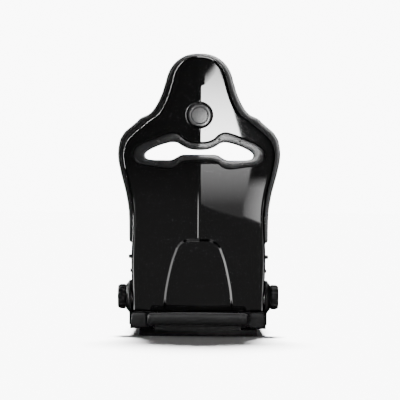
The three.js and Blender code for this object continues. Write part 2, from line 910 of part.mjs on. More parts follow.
function makeCushionPads() {
  const seatTop = (x, y) => {
    const s = x / cushionHalf;
    const t = (2 * (y - thighRear)) / (cushionRear - thighRear) - 1;
    return 112 + 26 * (1 - s ** 4) * (1 - Math.abs(t) ** 5) - 8 * t;
  };
  const centre = sheetSolid({
    rows: evenRows(thighRear + padGap / 2, cushionRear, 10),
    left: () => -cushionHalf,
    right: () => cushionHalf,
    low: () => cushionBottom,
    high: seatTop,
    columns: 8,
    upright: false,
  });
  add("cushion_pad", centre, suede);

  const roll = new THREE.Shape();
  const middle = (thighFront + thighRear) / 2;
  const reach = (thighRear - thighFront) / 2;
  roll.moveTo(thighRear, cushionBottom);
  roll.lineTo(thighRear, thighTop - 34);
  roll.absellipse(middle, thighTop - 34, reach, 34, 0, Math.PI, false);
  roll.absellipse(middle, cushionBottom + 24, reach, 24, Math.PI, Math.PI * 1.5, false);
  roll.lineTo(thighRear, cushionBottom);
  add("thigh_roll", extrudeX(roll, -cushionHalf, cushionHalf, { curveSegments: 8 }), leather);
}

// Side bolster of the cushion. Its rear passes under the hinge, clear of the swinging backrest.
function makeCushionBolster() {
  const inner = cushionHalf + 2;
  const cornerRadius = 18;
  const ridge = curveThrough([
    [thighFront + 7, 112],
    [thighFront + 20, 160],
    [thighFront + 65, 196],
    [thighFront + 145, 213],
    [-200, 218],
    [-150, 212],
    [-126, 192],
    [-114, 128],
    [-96, 120],
    [bolsterRear, 116],
    [cornerRear - 8, 88],
    [cornerRear, 74],
  ]);
  const body = solid(
    sheetSolid({
      rows: [
        ...evenRows(thighFront + 7, thighFront + 65, 4),
        ...evenRows(thighFront + 105, -165, 4),
        -145,
        -132,
        -122,
        -114,
        ...evenRows(-96, bolsterRear, 5),
        ...evenRows(bolsterRear + 1, cornerRear, 4),
      ],
      left: (y) => (y > bolsterRear ? rollHalf + 1.5 : inner),
      right: () => bolsterHalf,
      low: (x) => {
        const over = Math.max(0, x - (bolsterHalf - cornerRadius));
        const drop = Math.sqrt(cornerRadius ** 2 - Math.min(over, cornerRadius - 2) ** 2);
        return cushionBottom + cornerRadius - drop;
      },
      high: (x, y) => {
        const s = (2 * (x - inner)) / (bolsterHalf - inner) - 1;
        return cushionBottom + (ridge(y) - cushionBottom) * (1 - 0.25 * Math.abs(s) ** 3);
      },
      columns: 10,
      upright: false,
    }),
  );
  const swept = solid(rod(sweptRadius, 0, 400, 40).translate(0, 0, hingeZ)).subtract(
    solid(box(-5, 405, -10, 200, 0, 400)),
  );
  const sweptBehind = solid(rod(sweptRear, 0, 400, 40).translate(0, 0, hingeZ));
  const footRoom = solid(
    box(0, 400, armFoot.front - 3, armFoot.rear + 3, 0, cushionBottom + armBolts.headHeight + 4),
  );
  const armRoom = solid(box(armInner - 1.5, 400, armFoot.front - 3, armFoot.rear + 3, 0, 400));
  return cut(body, swept, sweptBehind, footRoom, armRoom);
}

// ---------- put the seat together ----------
add("back_shell", makeShell(), glossShell);
add("shell_badge", makeBadge(), badgeSatin);
add("rear_bezel", makeRearBezel(), matteTrim);
add("front_bezel", makeFrontBezel(), matteTrim);
bezelScrews.forEach(([x, z], i) => add(`bezel_screw_${i + 1}`, makeScrew(x, z), screwBlack));
add("backrest_cover", makeCover(), leather);
makeBackPads();

add("backrest_hoop", makeHoop(), frameBlack);
add("lower_cross_tube", crossTube(218), frameBlack);
add("upper_cross_tube", crossTube(535), frameBlack);
addPair("recliner_plate", makeReclinerPlate(), frameBlack);
sideBolts.forEach((b) => addPair(`side_bolt_${b.name}`, makeSideBolt(b), screwBlack));

const raise = (geometry) => geometry.translate(0, 0, hingeZ);
const disc = (from, to) => raise(ringRod(discRadius, shaftBore, from, to));
addPair("recliner_inner_disc", disc(plateOuter + gap, discJoint), brightSteel);
addPair("recliner_outer_disc", disc(discJoint + gap, armInner - gap), brightSteel);
addPair("recliner_arm", makeArm(), frameBlack);
addPair("recliner_cover", makeReclinerCover(), knobPlastic);
addPair("recliner_knob", makeKnob(), knobPlastic);
addPair("knob_cap", makeKnobCap(), badgeSatin);
add("cross_shaft", raise(rod(shaftRadius, -(knobOuter - 9), knobOuter - 9, 16)), brightSteel);

addPair("base_rail", makeRail(), frameBlack);
add("rear_cross_bar", makeRearBar(), frameBlack);
const tubeHalf = railCentre - railWidth / 2 - gap;
add(
  "front_cross_tube",
  rod(railHeight / 2 - 1, -tubeHalf, tubeHalf, 16).translate(0, baseFront + 30, railHeight / 2),
  frameBlack,
);
addPair("arm_bolt_front", makeArmBolt(armBolts.front), screwBlack);
addPair("arm_bolt_rear", makeArmBolt(armBolts.rear), screwBlack);
strapPlaces.forEach((y, i) => {
  const half = railCentre + railWidth / 2 - 3;
  const bottom = railHeight + gap;
  add(
    `webbing_strap_${i + 1}`,
    box(-half, half, y - strapWidth / 2, y + strapWidth / 2, bottom, bottom + strapThickness),
    webbing,
  );
});

makeCushionPads();
addPair("cushion_bolster", makeCushionBolster(), leather);
const flapBottom = 33;
const hemBottom = 20; // the flap's hem hangs behind the cross bar
const hemFront = barFront + barDepth + 2;
const flapRear = rollPlace.y - 0.75 * rollRadius;
const flap = solid(box(-cushionHalf, cushionHalf, cushionRear + gap, flapRear, flapBottom, flapBottom + 11));
const hem = solid(box(-cushionHalf, cushionHalf, hemFront, hemFront + 5, hemBottom, flapBottom + 2));
add("rear_flap", geometryOf(flap.add(hem)), leather);
add("rear_roll", rod(rollRadius, -rollHalf, rollHalf, 20).translate(0, rollPlace.y, rollPlace.z), leather);

// Centre the seat over the origin, front to back, standing on z = 0.
const bounds = new THREE.Box3().setFromObject(seat, true);
seat.position.y = -(bounds.min.y + bounds.max.y) / 2;

export default seat;
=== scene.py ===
import json
import math
import bmesh
import bpy
import numpy as np
from mathutils import Matrix, Vector


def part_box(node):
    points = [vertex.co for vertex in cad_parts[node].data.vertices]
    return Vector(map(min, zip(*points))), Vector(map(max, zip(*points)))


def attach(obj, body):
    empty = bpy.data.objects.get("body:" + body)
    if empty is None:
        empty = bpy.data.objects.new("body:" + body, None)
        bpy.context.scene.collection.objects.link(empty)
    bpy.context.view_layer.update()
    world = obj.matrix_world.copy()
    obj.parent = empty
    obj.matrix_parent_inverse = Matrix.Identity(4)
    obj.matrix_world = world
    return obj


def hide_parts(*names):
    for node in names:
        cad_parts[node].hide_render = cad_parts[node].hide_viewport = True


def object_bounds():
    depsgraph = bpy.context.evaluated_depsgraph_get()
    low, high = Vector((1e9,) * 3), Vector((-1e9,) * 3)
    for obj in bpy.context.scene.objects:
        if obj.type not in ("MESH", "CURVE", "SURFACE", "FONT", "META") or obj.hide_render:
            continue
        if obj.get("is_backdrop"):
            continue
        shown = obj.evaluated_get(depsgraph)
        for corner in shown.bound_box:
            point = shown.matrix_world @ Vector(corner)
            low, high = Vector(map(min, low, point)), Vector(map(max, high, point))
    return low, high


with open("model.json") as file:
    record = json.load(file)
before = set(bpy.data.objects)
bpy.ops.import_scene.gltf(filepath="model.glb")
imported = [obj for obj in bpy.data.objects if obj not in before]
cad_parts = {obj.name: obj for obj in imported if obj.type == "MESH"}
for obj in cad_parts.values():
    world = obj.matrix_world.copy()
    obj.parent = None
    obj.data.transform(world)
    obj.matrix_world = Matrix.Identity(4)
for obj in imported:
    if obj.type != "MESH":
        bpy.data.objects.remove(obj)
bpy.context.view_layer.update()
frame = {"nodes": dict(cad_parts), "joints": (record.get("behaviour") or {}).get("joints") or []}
cadNodes = frame["nodes"]
recline = next(j for j in frame["joints"] if j["name"] == "backrest_recline")
hingeY, hingeZ = (1000 * v for v in recline["pos_m"][1:])
print("frame loaded")


# Lengths are in millimetres until a mesh is made; the studio at the end is in metres.


# shapes shared by several pieces
def boxOf(node):
    # lowest and highest corner of a CAD node, in millimetres
    low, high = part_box(node)
    return np.array(low) * 1000, np.array(high) * 1000


def linked(name, mesh):
    # a new object for a mesh, in the scene
    obj = bpy.data.objects.new(name, mesh)
    bpy.context.scene.collection.objects.link(obj)
    return obj


def curveThrough(knots):
    # cubic Hermite through (position, value), slopes (v[i+1] - v[i-1]) / (p[i+1] - p[i-1])
    p, v = np.array(knots, float).T
    slope = np.gradient(v, p)
    slope[1:-1] = (v[2:] - v[:-2]) / (p[2:] - p[:-2])

    def at(x):
        x = np.clip(np.asarray(x, float), p[0], p[-1])
        i = np.clip(np.searchsorted(p, x), 1, len(p) - 1)
        span = p[i] - p[i - 1]
        t = (x - p[i - 1]) / span
        return (
            v[i - 1] * (2 * t**3 - 3 * t**2 + 1)
            + slope[i - 1] * span * (t**3 - 2 * t**2 + t)
            + v[i] * (3 * t**2 - 2 * t**3)
            + slope[i] * span * (t**3 - t**2)
        )

    return at


def smooth(x, low, high):
    # 3t^2 - 2t^3 of t = (x - low) / (high - low) held between 0 and 1
    t = np.clip((np.asarray(x, float) - low) / (high - low), 0, 1)
    return t * t * (3 - 2 * t)


def mix(a, b, share):
    # a + (b - a) * share
    return a + (b - a) * share


shellLow, shellHigh = boxOf("back_shell")
back = {
    "base": shellLow[2],
    "top": shellHigh[2],
    "hip": 226.0,
    "waist": (415.0, 223.0),
    "shoulder": (616.0, 255.0),
    "neck": (shellHigh[2] - 196, 140.0),
    "head": (shellHigh[2] - 84, 92.0),
    "taper": 0.18,
    "dome": 2.4,
    "behind": 50,
    "lean": 0.235,
    "bendZ": 450.0,
    "ridge": math.tan(math.radians(4)),
    "edge": 10.0,
    "wall": 3.3,
}
waistZ, waistHalf = back["waist"]
shoulderZ, shoulderHalf = back["shoulder"]
neckZ, neckHalf = back["neck"]
headZ, headHalf = back["head"]
bendRate = back["lean"] / (2 * (back["top"] - 146 - back["bendZ"]))
shellSide = curveThrough([
    (back["base"], back["hip"] - 1),
    (hingeZ + 20, back["hip"]),
    (mix(hingeZ, waistZ, 0.45), back["hip"] + 2),
    (waistZ, waistHalf),
    (mix(waistZ, shoulderZ, 0.35), mix(waistHalf, shoulderHalf, 0.24)),
    (mix(waistZ, shoulderZ, 0.75), mix(waistHalf, shoulderHalf, 0.8)),
    (shoulderZ, shoulderHalf),
    (mix(shoulderZ, neckZ, 0.29), mix(neckHalf, shoulderHalf, 0.92)),
    (mix(shoulderZ, neckZ, 0.49), mix(neckHalf, shoulderHalf, 0.74)),
    (mix(shoulderZ, neckZ, 0.68), mix(neckHalf, shoulderHalf, 0.48)),
    (mix(shoulderZ, neckZ, 0.86), mix(neckHalf, shoulderHalf, 0.22)),
    (neckZ, neckHalf),
    (mix(neckZ, headZ, 0.24), mix(headHalf, neckHalf, 0.62)),
    (mix(neckZ, headZ, 0.58), mix(headHalf, neckHalf, 0.28)),
    (headZ, headHalf),
])


def outlineRows(zLow, grow, topGrow, step=5.0, extra=(), crown=26):
    # rows of (x, z, outward normal) up the right half of the back's outline, grown by grow(z):
    # x = side(z) + grow * sqrt(1 + side'(z)^2) below the head, a superellipse above it
    top = back["top"] + topGrow
    below = np.linspace(zLow, headZ, int((headZ - zLow) / step))
    below = np.unique(np.concatenate([below, np.array(extra, float)]))
    above = headZ + (top - headZ) * np.sin(np.linspace(0, 1, crown + 1)[1:] * math.pi / 2)
    z = np.concatenate([below, above])
    slope = (shellSide(z + 1) - shellSide(z - 1)) / 2
    g = grow(z)
    t = np.clip((z - headZ) / (top - headZ), 0, 1)
    dome = (headHalf + g - back["taper"] * (z - headZ)) * (1 - t ** back["dome"]) ** (1 / back["dome"])
    x = np.where(z <= headZ, shellSide(z) + g * np.sqrt(1 + slope**2), dome)
    x[-1] = 0
    tangent = np.stack([np.gradient(x), np.gradient(z)], 1)
    tangent[-1] = (-1, 0)
    tangent /= np.linalg.norm(tangent, axis=1)[:, None]
    return x, z, tangent[:, 1], -tangent[:, 0]


def spineY(z):
    # y = behind + lean (z - base) - bendRate max(0, z - bendZ)^2, from the hinge
    straight = hingeY + back["behind"] + back["lean"] * (z - back["base"])
    return straight - bendRate * np.maximum(0, z - back["bendZ"]) ** 2


arch = {"half": 120.0, "top": 333.0, "depth": 4.6, "slope": 8.0, "corner": 36.0}
creaseWidth = {"high": 4.5, "low": 6.0, "inArch": 24.0}
archSide = curveThrough([
    (back["base"] - 10, arch["half"]),
    (mix(back["base"], arch["top"], 0.25), arch["half"] - 5),
    (mix(back["base"], arch["top"], 0.48), arch["half"] - 15),
    (mix(back["base"], arch["top"], 0.7), arch["half"] - 28),
    (mix(back["base"], arch["top"], 0.86), arch["half"] - 42),
    (arch["top"] + 10, arch["half"] - 56),
])


def archDepth(x, z):
    # depth * ramp(distance inside the outline), the outline's upper corners rounded:
    # distance = r - hypot(max(0, r - toSide), max(0, r - toTop)), less what is past both
    toSide = (archSide(z) - np.abs(x)) * 0.97
    toTop = arch["top"] - z
    r = arch["corner"]
    u, v = r - toSide, r - toTop
    inside = np.where((u > 0) & (v > 0), r - np.hypot(u, v), np.minimum(toSide, toTop))
    t = np.clip(inside / arch["slope"], 0, 1)
    return arch["depth"] * (0.55 * t + 0.45 * t * t * (3 - 2 * t))


def rearY(x, z):
    # spine(z) - ridge sqrt(x^2 + c^2), c small for a crisp crease, less the arch
    c = mix(creaseWidth["high"], creaseWidth["low"], smooth(z, 560, 470))
    c = mix(c, creaseWidth["inArch"], smooth(z, arch["top"] + 2, arch["top"] - 14))
    return spineY(z) - back["ridge"] * np.sqrt(x**2 + c**2) - archDepth(x, z)


# mesh helpers
def quads(rows, columns, wrapRows=False, wrapColumns=False):
    # faces (i,j) (i,j+1) (i+1,j+1) (i+1,j) of a grid of points
    i, j = np.meshgrid(
        np.arange(rows if wrapRows else rows - 1),
        np.arange(columns if wrapColumns else columns - 1),
        indexing="ij",
    )
    k, m = (i + 1) % rows, (j + 1) % columns
    return np.stack([i * columns + j, i * columns + m, k * columns + m, k * columns + j], -1).reshape(-1, 4)


def meshFrom(name, points, faces, closed=True, sharp=35.0):
    # points in millimetres; doubles merged, and on a closed body the faces turned outward
    mesh = bpy.data.meshes.new(name)
    if isinstance(faces, np.ndarray):
        faces = faces.tolist()
    mesh.from_pydata((np.asarray(points, float) * 0.001).tolist(), [], faces)
    work = bmesh.new()
    work.from_mesh(mesh)
    bmesh.ops.remove_doubles(work, verts=work.verts, dist=2e-6)
    bmesh.ops.dissolve_degenerate(work, edges=work.edges, dist=1e-7)
    if closed:
        bmesh.ops.recalc_face_normals(work, faces=work.faces)
    work.to_mesh(mesh)
    work.free()
    shade(mesh, sharp)
    return linked(name, mesh)


def shade(mesh, sharp):
    # smooth shading, with edges sharper than the angle kept crisp (0 keeps none)
    mesh.polygons.foreach_set("use_smooth", [True] * len(mesh.polygons))
    if sharp:
        mesh.set_sharp_from_angle(angle=math.radians(sharp))
    mesh.update()


def applied(obj):
    # the object's mesh with its modifiers in it
    bpy.context.view_layer.update()
    graph = bpy.context.evaluated_depsgraph_get()
    made = bpy.data.meshes.new_from_object(obj.evaluated_get(graph), depsgraph=graph)
    obj.modifiers.clear()
    old = obj.data
    obj.data = made
    bpy.data.meshes.remove(old)
    return obj


def faceTowards(obj, direction):
    # a sheet turned so that its largest share of faces points along direction
    facing = sum((p.normal.dot(Vector(direction)) * p.area for p in obj.data.polygons), 0.0)
    if facing < 0:
        obj.data.flip_normals()
    return obj


def thicken(obj, wall):
    # a sheet given a wall on its inner side
    solid = obj.modifiers.new("wall", "SOLIDIFY")
    solid.thickness = wall * 0.001
    solid.offset = -1
    solid.use_even_offset = False
    solid.use_rim = True
    return applied(obj)


def bevelled(obj, width, segments=2, angle=40):
    # edges sharper than the angle rounded off
    bevel = obj.modifiers.new("bevel", "BEVEL")
    bevel.width = width * 0.001
    bevel.segments = segments
    bevel.limit_method = "ANGLE"
    bevel.angle_limit = math.radians(angle)
    bevel.harden_normals = False
    return applied(obj)


def joined(name, parts):
    # several meshes as one object
    work = bmesh.new()
    for part in parts:
        work.from_mesh(part.data)
        bpy.data.objects.remove(part)
    mesh = bpy.data.meshes.new(name)
    work.to_mesh(mesh)
    work.free()
    return linked(name, mesh)


def mirrorOf(obj, name):
    # the twin at -x, its faces turned back outward
    twin = linked(name, obj.data.copy())
    twin.data.transform(Matrix.Scale(-1, 4, (1, 0, 0)))
    twin.data.flip_normals()
    return twin


finished = []


def place(obj, body, slotName, *replaced, material=None):
    # a finished piece: its look, its body, and the CAD nodes it stands for
    finished.append(obj)
    obj.data.materials.clear()
    obj.data.materials.append(looks[material or slotName])
    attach(obj, body)
    if replaced:
        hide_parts(*replaced)
    return obj


def placePair(obj, name, body, slotName, node):
    # a left piece and its mirrored twin
    twin = mirrorOf(obj, name + "Right")
    obj.name = name + "Left"
    place(obj, body, slotName, node + "_left")
    place(twin, body, slotName, node + "_right")
    return obj, twin


def lathe(profile, segments, axis, centre, radial=None):
    # points (radius, along) turned about an axis; radial(angle, row) scales the radius
    r, a = np.array(profile, float).T
    turn = np.linspace(0, 2 * math.pi, segments, endpoint=False)
    scale = radial(turn[None, :], np.arange(len(r))[:, None]) if radial else np.ones((1, segments))
    rr = r[:, None] * scale
    u, v = rr * np.cos(turn), rr * np.sin(turn)
    w = np.broadcast_to(a[:, None], rr.shape)
    order = {"x": (w, u, v), "y": (u, w, v), "z": (u, v, w)}[axis]
    points = np.stack(order, -1).reshape(-1, 3) + np.array(centre, float)
    return points, quads(len(r), segments, wrapColumns=True)


def sweepClosed(path, across, up, section):
    # section points (a, b) carried round a closed path: p + a across + b up
    points = path[:, None] + section[None, :, :1] * across[:, None] + section[None, :, 1:] * up[:, None]
    return points.reshape(-1, 3), quads(len(path), len(section), wrapRows=True, wrapColumns=True)


def tube(path, radius, sides=10, closed=False):
    # a round section p + r (cos a side + sin a up); open ends closed by a smaller ring and a point
    path = np.asarray(path, float)
    tangent = np.gradient(path, axis=0)
    if closed:
        tangent = np.roll(path, -1, 0) - np.roll(path, 1, 0)
    tangent /= np.linalg.norm(tangent, axis=1)[:, None]
    side = np.cross(tangent, (0.31, 0.11, 0.94))
    side /= np.linalg.norm(side, axis=1)[:, None]
    up = np.cross(side, tangent)
    turn = np.linspace(0, 2 * math.pi, sides, endpoint=False)
    ring = np.stack([np.cos(turn), np.sin(turn)], 1) * radius
    if closed:
        return sweepClosed(path, side, up, ring)
    scale = np.concatenate([[0, 0.7], np.ones(len(path)), [0.7, 0]])
    path = np.concatenate([path[:1] - tangent[:1] * radius, path[:1] - tangent[:1] * radius * 0.7, path,
                           path[-1:] + tangent[-1:] * radius * 0.7, path[-1:] + tangent[-1:] * radius])
    side = np.concatenate([side[:1]] * 2 + [side] + [side[-1:]] * 2)
    up = np.concatenate([up[:1]] * 2 + [up] + [up[-1:]] * 2)
    spokes = ring[None, :, :1] * side[:, None] + ring[None, :, 1:] * up[:, None]
    points = path[:, None] + scale[:, None, None] * spokes
    return points.reshape(-1, 3), quads(len(path), sides, wrapColumns=True)


def stitches(path, normal, length=4.4, gap=2.2, radius=0.55, lift=0.25):
    # short thread capsules along a path: centres every length + gap of arc length
    path, normal = np.asarray(path, float), np.asarray(normal, float)
    step = np.linalg.norm(np.diff(path, axis=0), axis=1)
    arc = np.concatenate([[0], np.cumsum(step)])
    at = np.arange(length, arc[-1] - length, length + gap)
    pick = lambda values: np.stack([np.interp(at, arc, values[:, k]) for k in range(3)], 1)
    centre = pick(path)
    up = pick(normal)
    up /= np.linalg.norm(up, axis=1)[:, None]
    along = pick(np.gradient(path, arc, axis=0))
    along -= up * (along * up).sum(1)[:, None]
    along /= np.linalg.norm(along, axis=1)[:, None]
    side = np.cross(along, up)
    turn = np.linspace(0, 2 * math.pi, 6, endpoint=False)
    ring = np.stack([np.cos(turn), np.sin(turn)], 1)
    stations = np.array([[-0.5, 0, -0.5], [-0.42, 0.75, -0.1], [-0.15, 1, 0.5],
                         [0.15, 1, 0.5], [0.42, 0.75, -0.1], [0.5, 0, -0.5]])
    template = np.stack([
        np.repeat(stations[:, 0] * length, 6),
        np.outer(stations[:, 1] * radius, ring[:, 0]).ravel(),
        np.outer(stations[:, 1] * radius, ring[:, 1]).ravel() + np.repeat(stations[:, 2] * radius, 6) + lift,
    ], 1)
    points = (centre[:, None] + template[None, :, :1] * along[:, None]
              + template[None, :, 1:2] * side[:, None] + template[None, :, 2:] * up[:, None])
    one = quads(6, 6, wrapColumns=True)
    faces = (one[None] + (np.arange(len(at)) * 36)[:, None, None]).reshape(-1, 4)
    return points.reshape(-1, 3), faces


# materials
class Nodes:
    # small wrapper that adds shader nodes and links them
    def __init__(self, name):
        self.material = bpy.data.materials.new(name)
        self.material.use_nodes = True
        self.tree = self.material.node_tree
        self.shader = self.tree.nodes["Principled BSDF"]
        coords = self.tree.nodes.new("ShaderNodeTexCoord")
        self.place = coords.outputs["Object"]

    def put(self, socket, value):
        # a link where the value is a socket, else a plain value
        if isinstance(value, bpy.types.NodeSocket):
            self.tree.links.new(value, socket)
        else:
            socket.default_value = value

    def add(self, kind, output=0, settings=None, **inputs):
        # a node with its settings and inputs, by name or as i0, i1 and so on
        node = self.tree.nodes.new("ShaderNode" + kind)
        for key, value in (settings or {}).items():
            setattr(node, key, value)
        for key, value in inputs.items():
            numbered = key[0] == "i" and key[1:].isdigit()
            self.put(node.inputs[int(key[1:]) if numbered else key.replace("_", " ")], value)
        return node.outputs[output]

    def math(self, operation, a, b=0.0, c=0.0):
        # a Math node
        return self.add("Math", settings={"operation": operation}, i0=a, i1=b, i2=c)

    def noise(self, scale, detail=4.0, rough=0.5, vector=None):
        # fractal noise over the piece, or over the vector given
        return self.add("TexNoise", Scale=scale, Detail=detail, Roughness=rough,
                        Vector=vector or self.place)

    def stretched(self, factors):
        # the piece's place scaled by a factor on each axis
        return self.add("Mapping", Vector=self.place, Scale=factors)

    def cells(self, scale, feature="F1"):
        # distance in a Voronoi pattern
        node = self.tree.nodes.new("ShaderNodeTexVoronoi")
        node.feature = feature
        self.put(node.inputs["Vector"], self.place)
        self.put(node.inputs["Scale"], scale)
        return node.outputs["Distance"]

    def blend(self, share, a, b):
        # a + (b - a) * share
        node = self.tree.nodes.new("ShaderNodeMix")
        self.put(node.inputs[0], share)
        self.put(node.inputs[2], a)
        self.put(node.inputs[3], b)
        return node.outputs[0]

    def split(self):
        # the piece's place as x, y and z
        node = self.tree.nodes.new("ShaderNodeSeparateXYZ")
        self.put(node.inputs[0], self.place)
        return node.outputs

    def ramp(self, value, low, high, toLow=0.0, toHigh=1.0):
        # a value carried from low..high to toLow..toHigh, held at both ends
        return self.add("MapRange", settings={"clamp": True},
                        i0=value, i1=low, i2=high, i3=toLow, i4=toHigh)

    def colours(self, share, first, second):
        # a mix of two colours
        node = self.tree.nodes.new("ShaderNodeMix")
        node.data_type = "RGBA"
        self.put(node.inputs[0], share)
        self.put(node.inputs[6], (*first, 1))
        self.put(node.inputs[7], (*second, 1))
        return node.outputs[2]

    def bump(self, height, distance, strength=1.0, normal=None):
        # a normal from a height
        node = self.tree.nodes.new("ShaderNodeBump")
        self.put(node.inputs["Height"], height)
        node.inputs["Distance"].default_value = distance
        node.inputs["Strength"].default_value = strength
        if normal is not None:
            self.put(node.inputs["Normal"], normal)
        return node.outputs[0]

    def finish(self, **inputs):
        # the look's own inputs set, and the material handed back
        for key, value in inputs.items():
            if isinstance(value, tuple) and len(value) == 3:
                value = (*value, 1)
            self.put(self.shader.inputs[key.replace("_", " ")], value)
        return self.material


def glossShellLook():
    # deep clear coat over a 2/2 twill: warp shows where mod(floor(u) + floor(v), 4) < 2
    n = Nodes("glossShell")
    towsPerMetre = 1000 / 2.1
    x, _, z = n.split()
    u = n.math("MULTIPLY", x, towsPerMetre)
    v = n.math("MULTIPLY", z, towsPerMetre)
    cell = n.math("ADD", n.math("FLOOR", u), n.math("FLOOR", v))
    warp = n.math("LESS_THAN", n.math("FLOORED_MODULO", cell, 4.0), 2.0)
    tow = n.math("SINE", n.math("MULTIPLY", n.math("FRACT", n.blend(warp, v, u)), math.pi))
    colour = n.colours(warp, (0.0036, 0.0037, 0.004), (0.0065, 0.0066, 0.007))
    return n.finish(
        Base_Color=colour,
        Roughness=n.ramp(tow, 0, 1, 0.42, 0.3),
        Specular_IOR_Level=0.015,
        Coat_Weight=1.0,
        Coat_Roughness=0.02,
        Coat_IOR=1.55,
        Normal=n.bump(tow, 0.00004, 0.5),
    )


def leatherLook(name, base=(0.004, 0.004, 0.0043), rough=(0.45, 0.6)):
    # pebble cells and their creases, over broad soft wrinkles
    n = Nodes(name)
    pebble = n.cells(620.0)
    crease = n.ramp(n.cells(620.0, "DISTANCE_TO_EDGE"), 0.0, 0.12)
    fold = n.noise(38.0, 3.0, 0.55)
    wear = n.noise(7.0, 4.0)
    height = n.math("ADD", n.math("MULTIPLY", crease, 0.7), n.math("MULTIPLY", pebble, -0.5))
    colour = n.colours(n.ramp(wear, 0.35, 0.7), base, tuple(1.5 * b for b in base))
    return n.finish(
        Base_Color=colour,
        Roughness=n.ramp(n.math("ADD", wear, n.math("MULTIPLY", crease, -0.2)), 0.1, 0.6, *rough),
        Specular_IOR_Level=0.14,
        Normal=n.bump(height, 0.00022, 0.55, n.bump(fold, 0.0011, 0.35)),
    )


def suedeLook():
    # short nap: fine noise, paler where it is brushed
    n = Nodes("suede")
    nap = n.noise(1500.0, 3.0, 0.7)
    brushed = n.noise(14.0, 4.0, 0.6)
    pale = n.ramp(n.math("ADD", brushed, n.math("MULTIPLY", nap, 0.35)), 0.45, 0.9)
    colour = n.colours(pale, (0.009, 0.009, 0.0095), (0.022, 0.022, 0.023))
    return n.finish(
        Base_Color=colour, Roughness=0.95, Specular_IOR_Level=0.15, Sheen_Weight=0.5, Sheen_Roughness=0.45,
        Sheen_Tint=(0.4, 0.4, 0.42), Normal=n.bump(nap, 0.0003, 0.5, n.bump(brushed, 0.0006, 0.3)),
    )


def trimLook():
    # moulded dark grey trim with a fine spark-eroded grain
    n = Nodes("matteTrim")
    grain = n.noise(900.0, 2.0, 0.6)
    broad = n.noise(20.0, 3.0)
    return n.finish(
        Base_Color=n.colours(n.ramp(broad, 0.3, 0.7), (0.012, 0.012, 0.0125), (0.016, 0.016, 0.0165)),
        Roughness=n.ramp(broad, 0.3, 0.7, 0.22, 0.28), Specular_IOR_Level=0.42,
        Normal=n.bump(grain, 0.00012, 0.4),
    )


def plasticLook():
    # textured knob plastic, a little polished by hands
    n = Nodes("knobPlastic")
    grain = n.cells(800.0)
    hand = n.noise(30.0, 4.0)
    return n.finish(
        Base_Color=n.colours(n.ramp(hand, 0.35, 0.7), (0.007, 0.007, 0.0075), (0.012, 0.012, 0.0125)),
        Roughness=n.ramp(hand, 0.3, 0.75, 0.34, 0.5), Specular_IOR_Level=0.12,
        Normal=n.bump(grain, 0.00014, 0.5),
    )


def powderLook():
    # powder coat: orange peel and a slight sheen change
    n = Nodes("frameBlack")
    peel = n.noise(420.0, 2.0, 0.5)
    broad = n.noise(12.0, 3.0)
    return n.finish(
        Base_Color=n.colours(n.ramp(broad, 0.3, 0.75), (0.004, 0.004, 0.0042), (0.007, 0.007, 0.0073)),
        Roughness=n.ramp(broad, 0.3, 0.7, 0.3, 0.4), Specular_IOR_Level=0.03,
        Normal=n.bump(peel, 0.00022, 0.45),
    )


def metalLook(name, base, rough, spread, stretch=(60, 60, 60)):
    # fine machining marks: noise stretched along the lines of turning
    n = Nodes(name)
    marks = n.noise(1.0, 4.0, 0.6, n.stretched(stretch))
    fine = n.noise(600.0, 2.0)
    dull = n.math("ADD", marks, n.math("MULTIPLY", fine, 0.3))
    return n.finish(
        Base_Color=n.colours(marks, tuple(0.8 * b for b in base), base), Metallic=1.0,
        Roughness=n.ramp(dull, 0.3, 1.0, rough, rough + spread),
        Normal=n.bump(marks, 0.00006, 0.4),
    )


def screwLook():
    # black oxide: dark, slightly mottled metal
    n = Nodes("screwBlack")
    mottle = n.noise(260.0, 4.0, 0.6)
    colour = n.colours(n.ramp(mottle, 0.35, 0.7), (0.012, 0.012, 0.013), (0.03, 0.029, 0.028))
    return n.finish(
        Base_Color=colour, Metallic=0.8,
        Roughness=n.ramp(mottle, 0.3, 0.7, 0.28, 0.42), Normal=n.bump(mottle, 0.00005, 0.4),
    )


def badgeLook():
    # dark satin disc under a lacquer, spun about its own centre: sin(k sqrt(x^2 + z^2))
    n = Nodes("badgeSatin")
    x, _, z = n.split()
    up = n.math("SUBTRACT", z, badge["z"] / 1000)
    fromCentre = n.math("SQRT", n.math("ADD", n.math("POWER", x, 2.0), n.math("POWER", up, 2.0)))
    spun = n.math("SINE", n.math("MULTIPLY", fromCentre, 9000.0))
    smudge = n.noise(40.0, 4.0)
    return n.finish(
        Base_Color=n.colours(n.ramp(smudge, 0.3, 0.7), (0.03, 0.03, 0.032), (0.045, 0.045, 0.047)),
        Specular_IOR_Level=0.5,
        Roughness=n.ramp(smudge, 0.3, 0.7, 0.12, 0.2), Coat_Weight=0.25, Coat_Roughness=0.05,
        Normal=n.bump(spun, 0.00001, 0.3),
    )


def threadLook():
    # twisted black thread
    n = Nodes("thread")
    twist = n.noise(1.0, 2.0, 0.5, n.stretched((3000, 3000, 1200)))
    return n.finish(Base_Color=n.colours(twist, (0.014, 0.014, 0.0145), (0.03, 0.03, 0.032)), Roughness=0.7,
                    Specular_IOR_Level=0.15, Normal=n.bump(twist, 0.0001, 0.5))


def webbingLook():
    # plain weave: sin(x) sin(y) of the strap's length and width
    n = Nodes("webbing")
    x, y, _ = n.split()
    threads = [n.math("SINE", n.math("MULTIPLY", way, 2 * math.pi * 1000 / pitch))
               for way, pitch in ((x, 1.6), (y, 2.4))]
    weave = n.math("MULTIPLY", *threads)
    return n.finish(
        Base_Color=n.colours(n.ramp(weave, -1, 1), (0.01, 0.01, 0.0105), (0.028, 0.028, 0.03)),
        Roughness=0.75,
        Sheen_Weight=0.3, Normal=n.bump(weave, 0.0003, 0.7),
    )


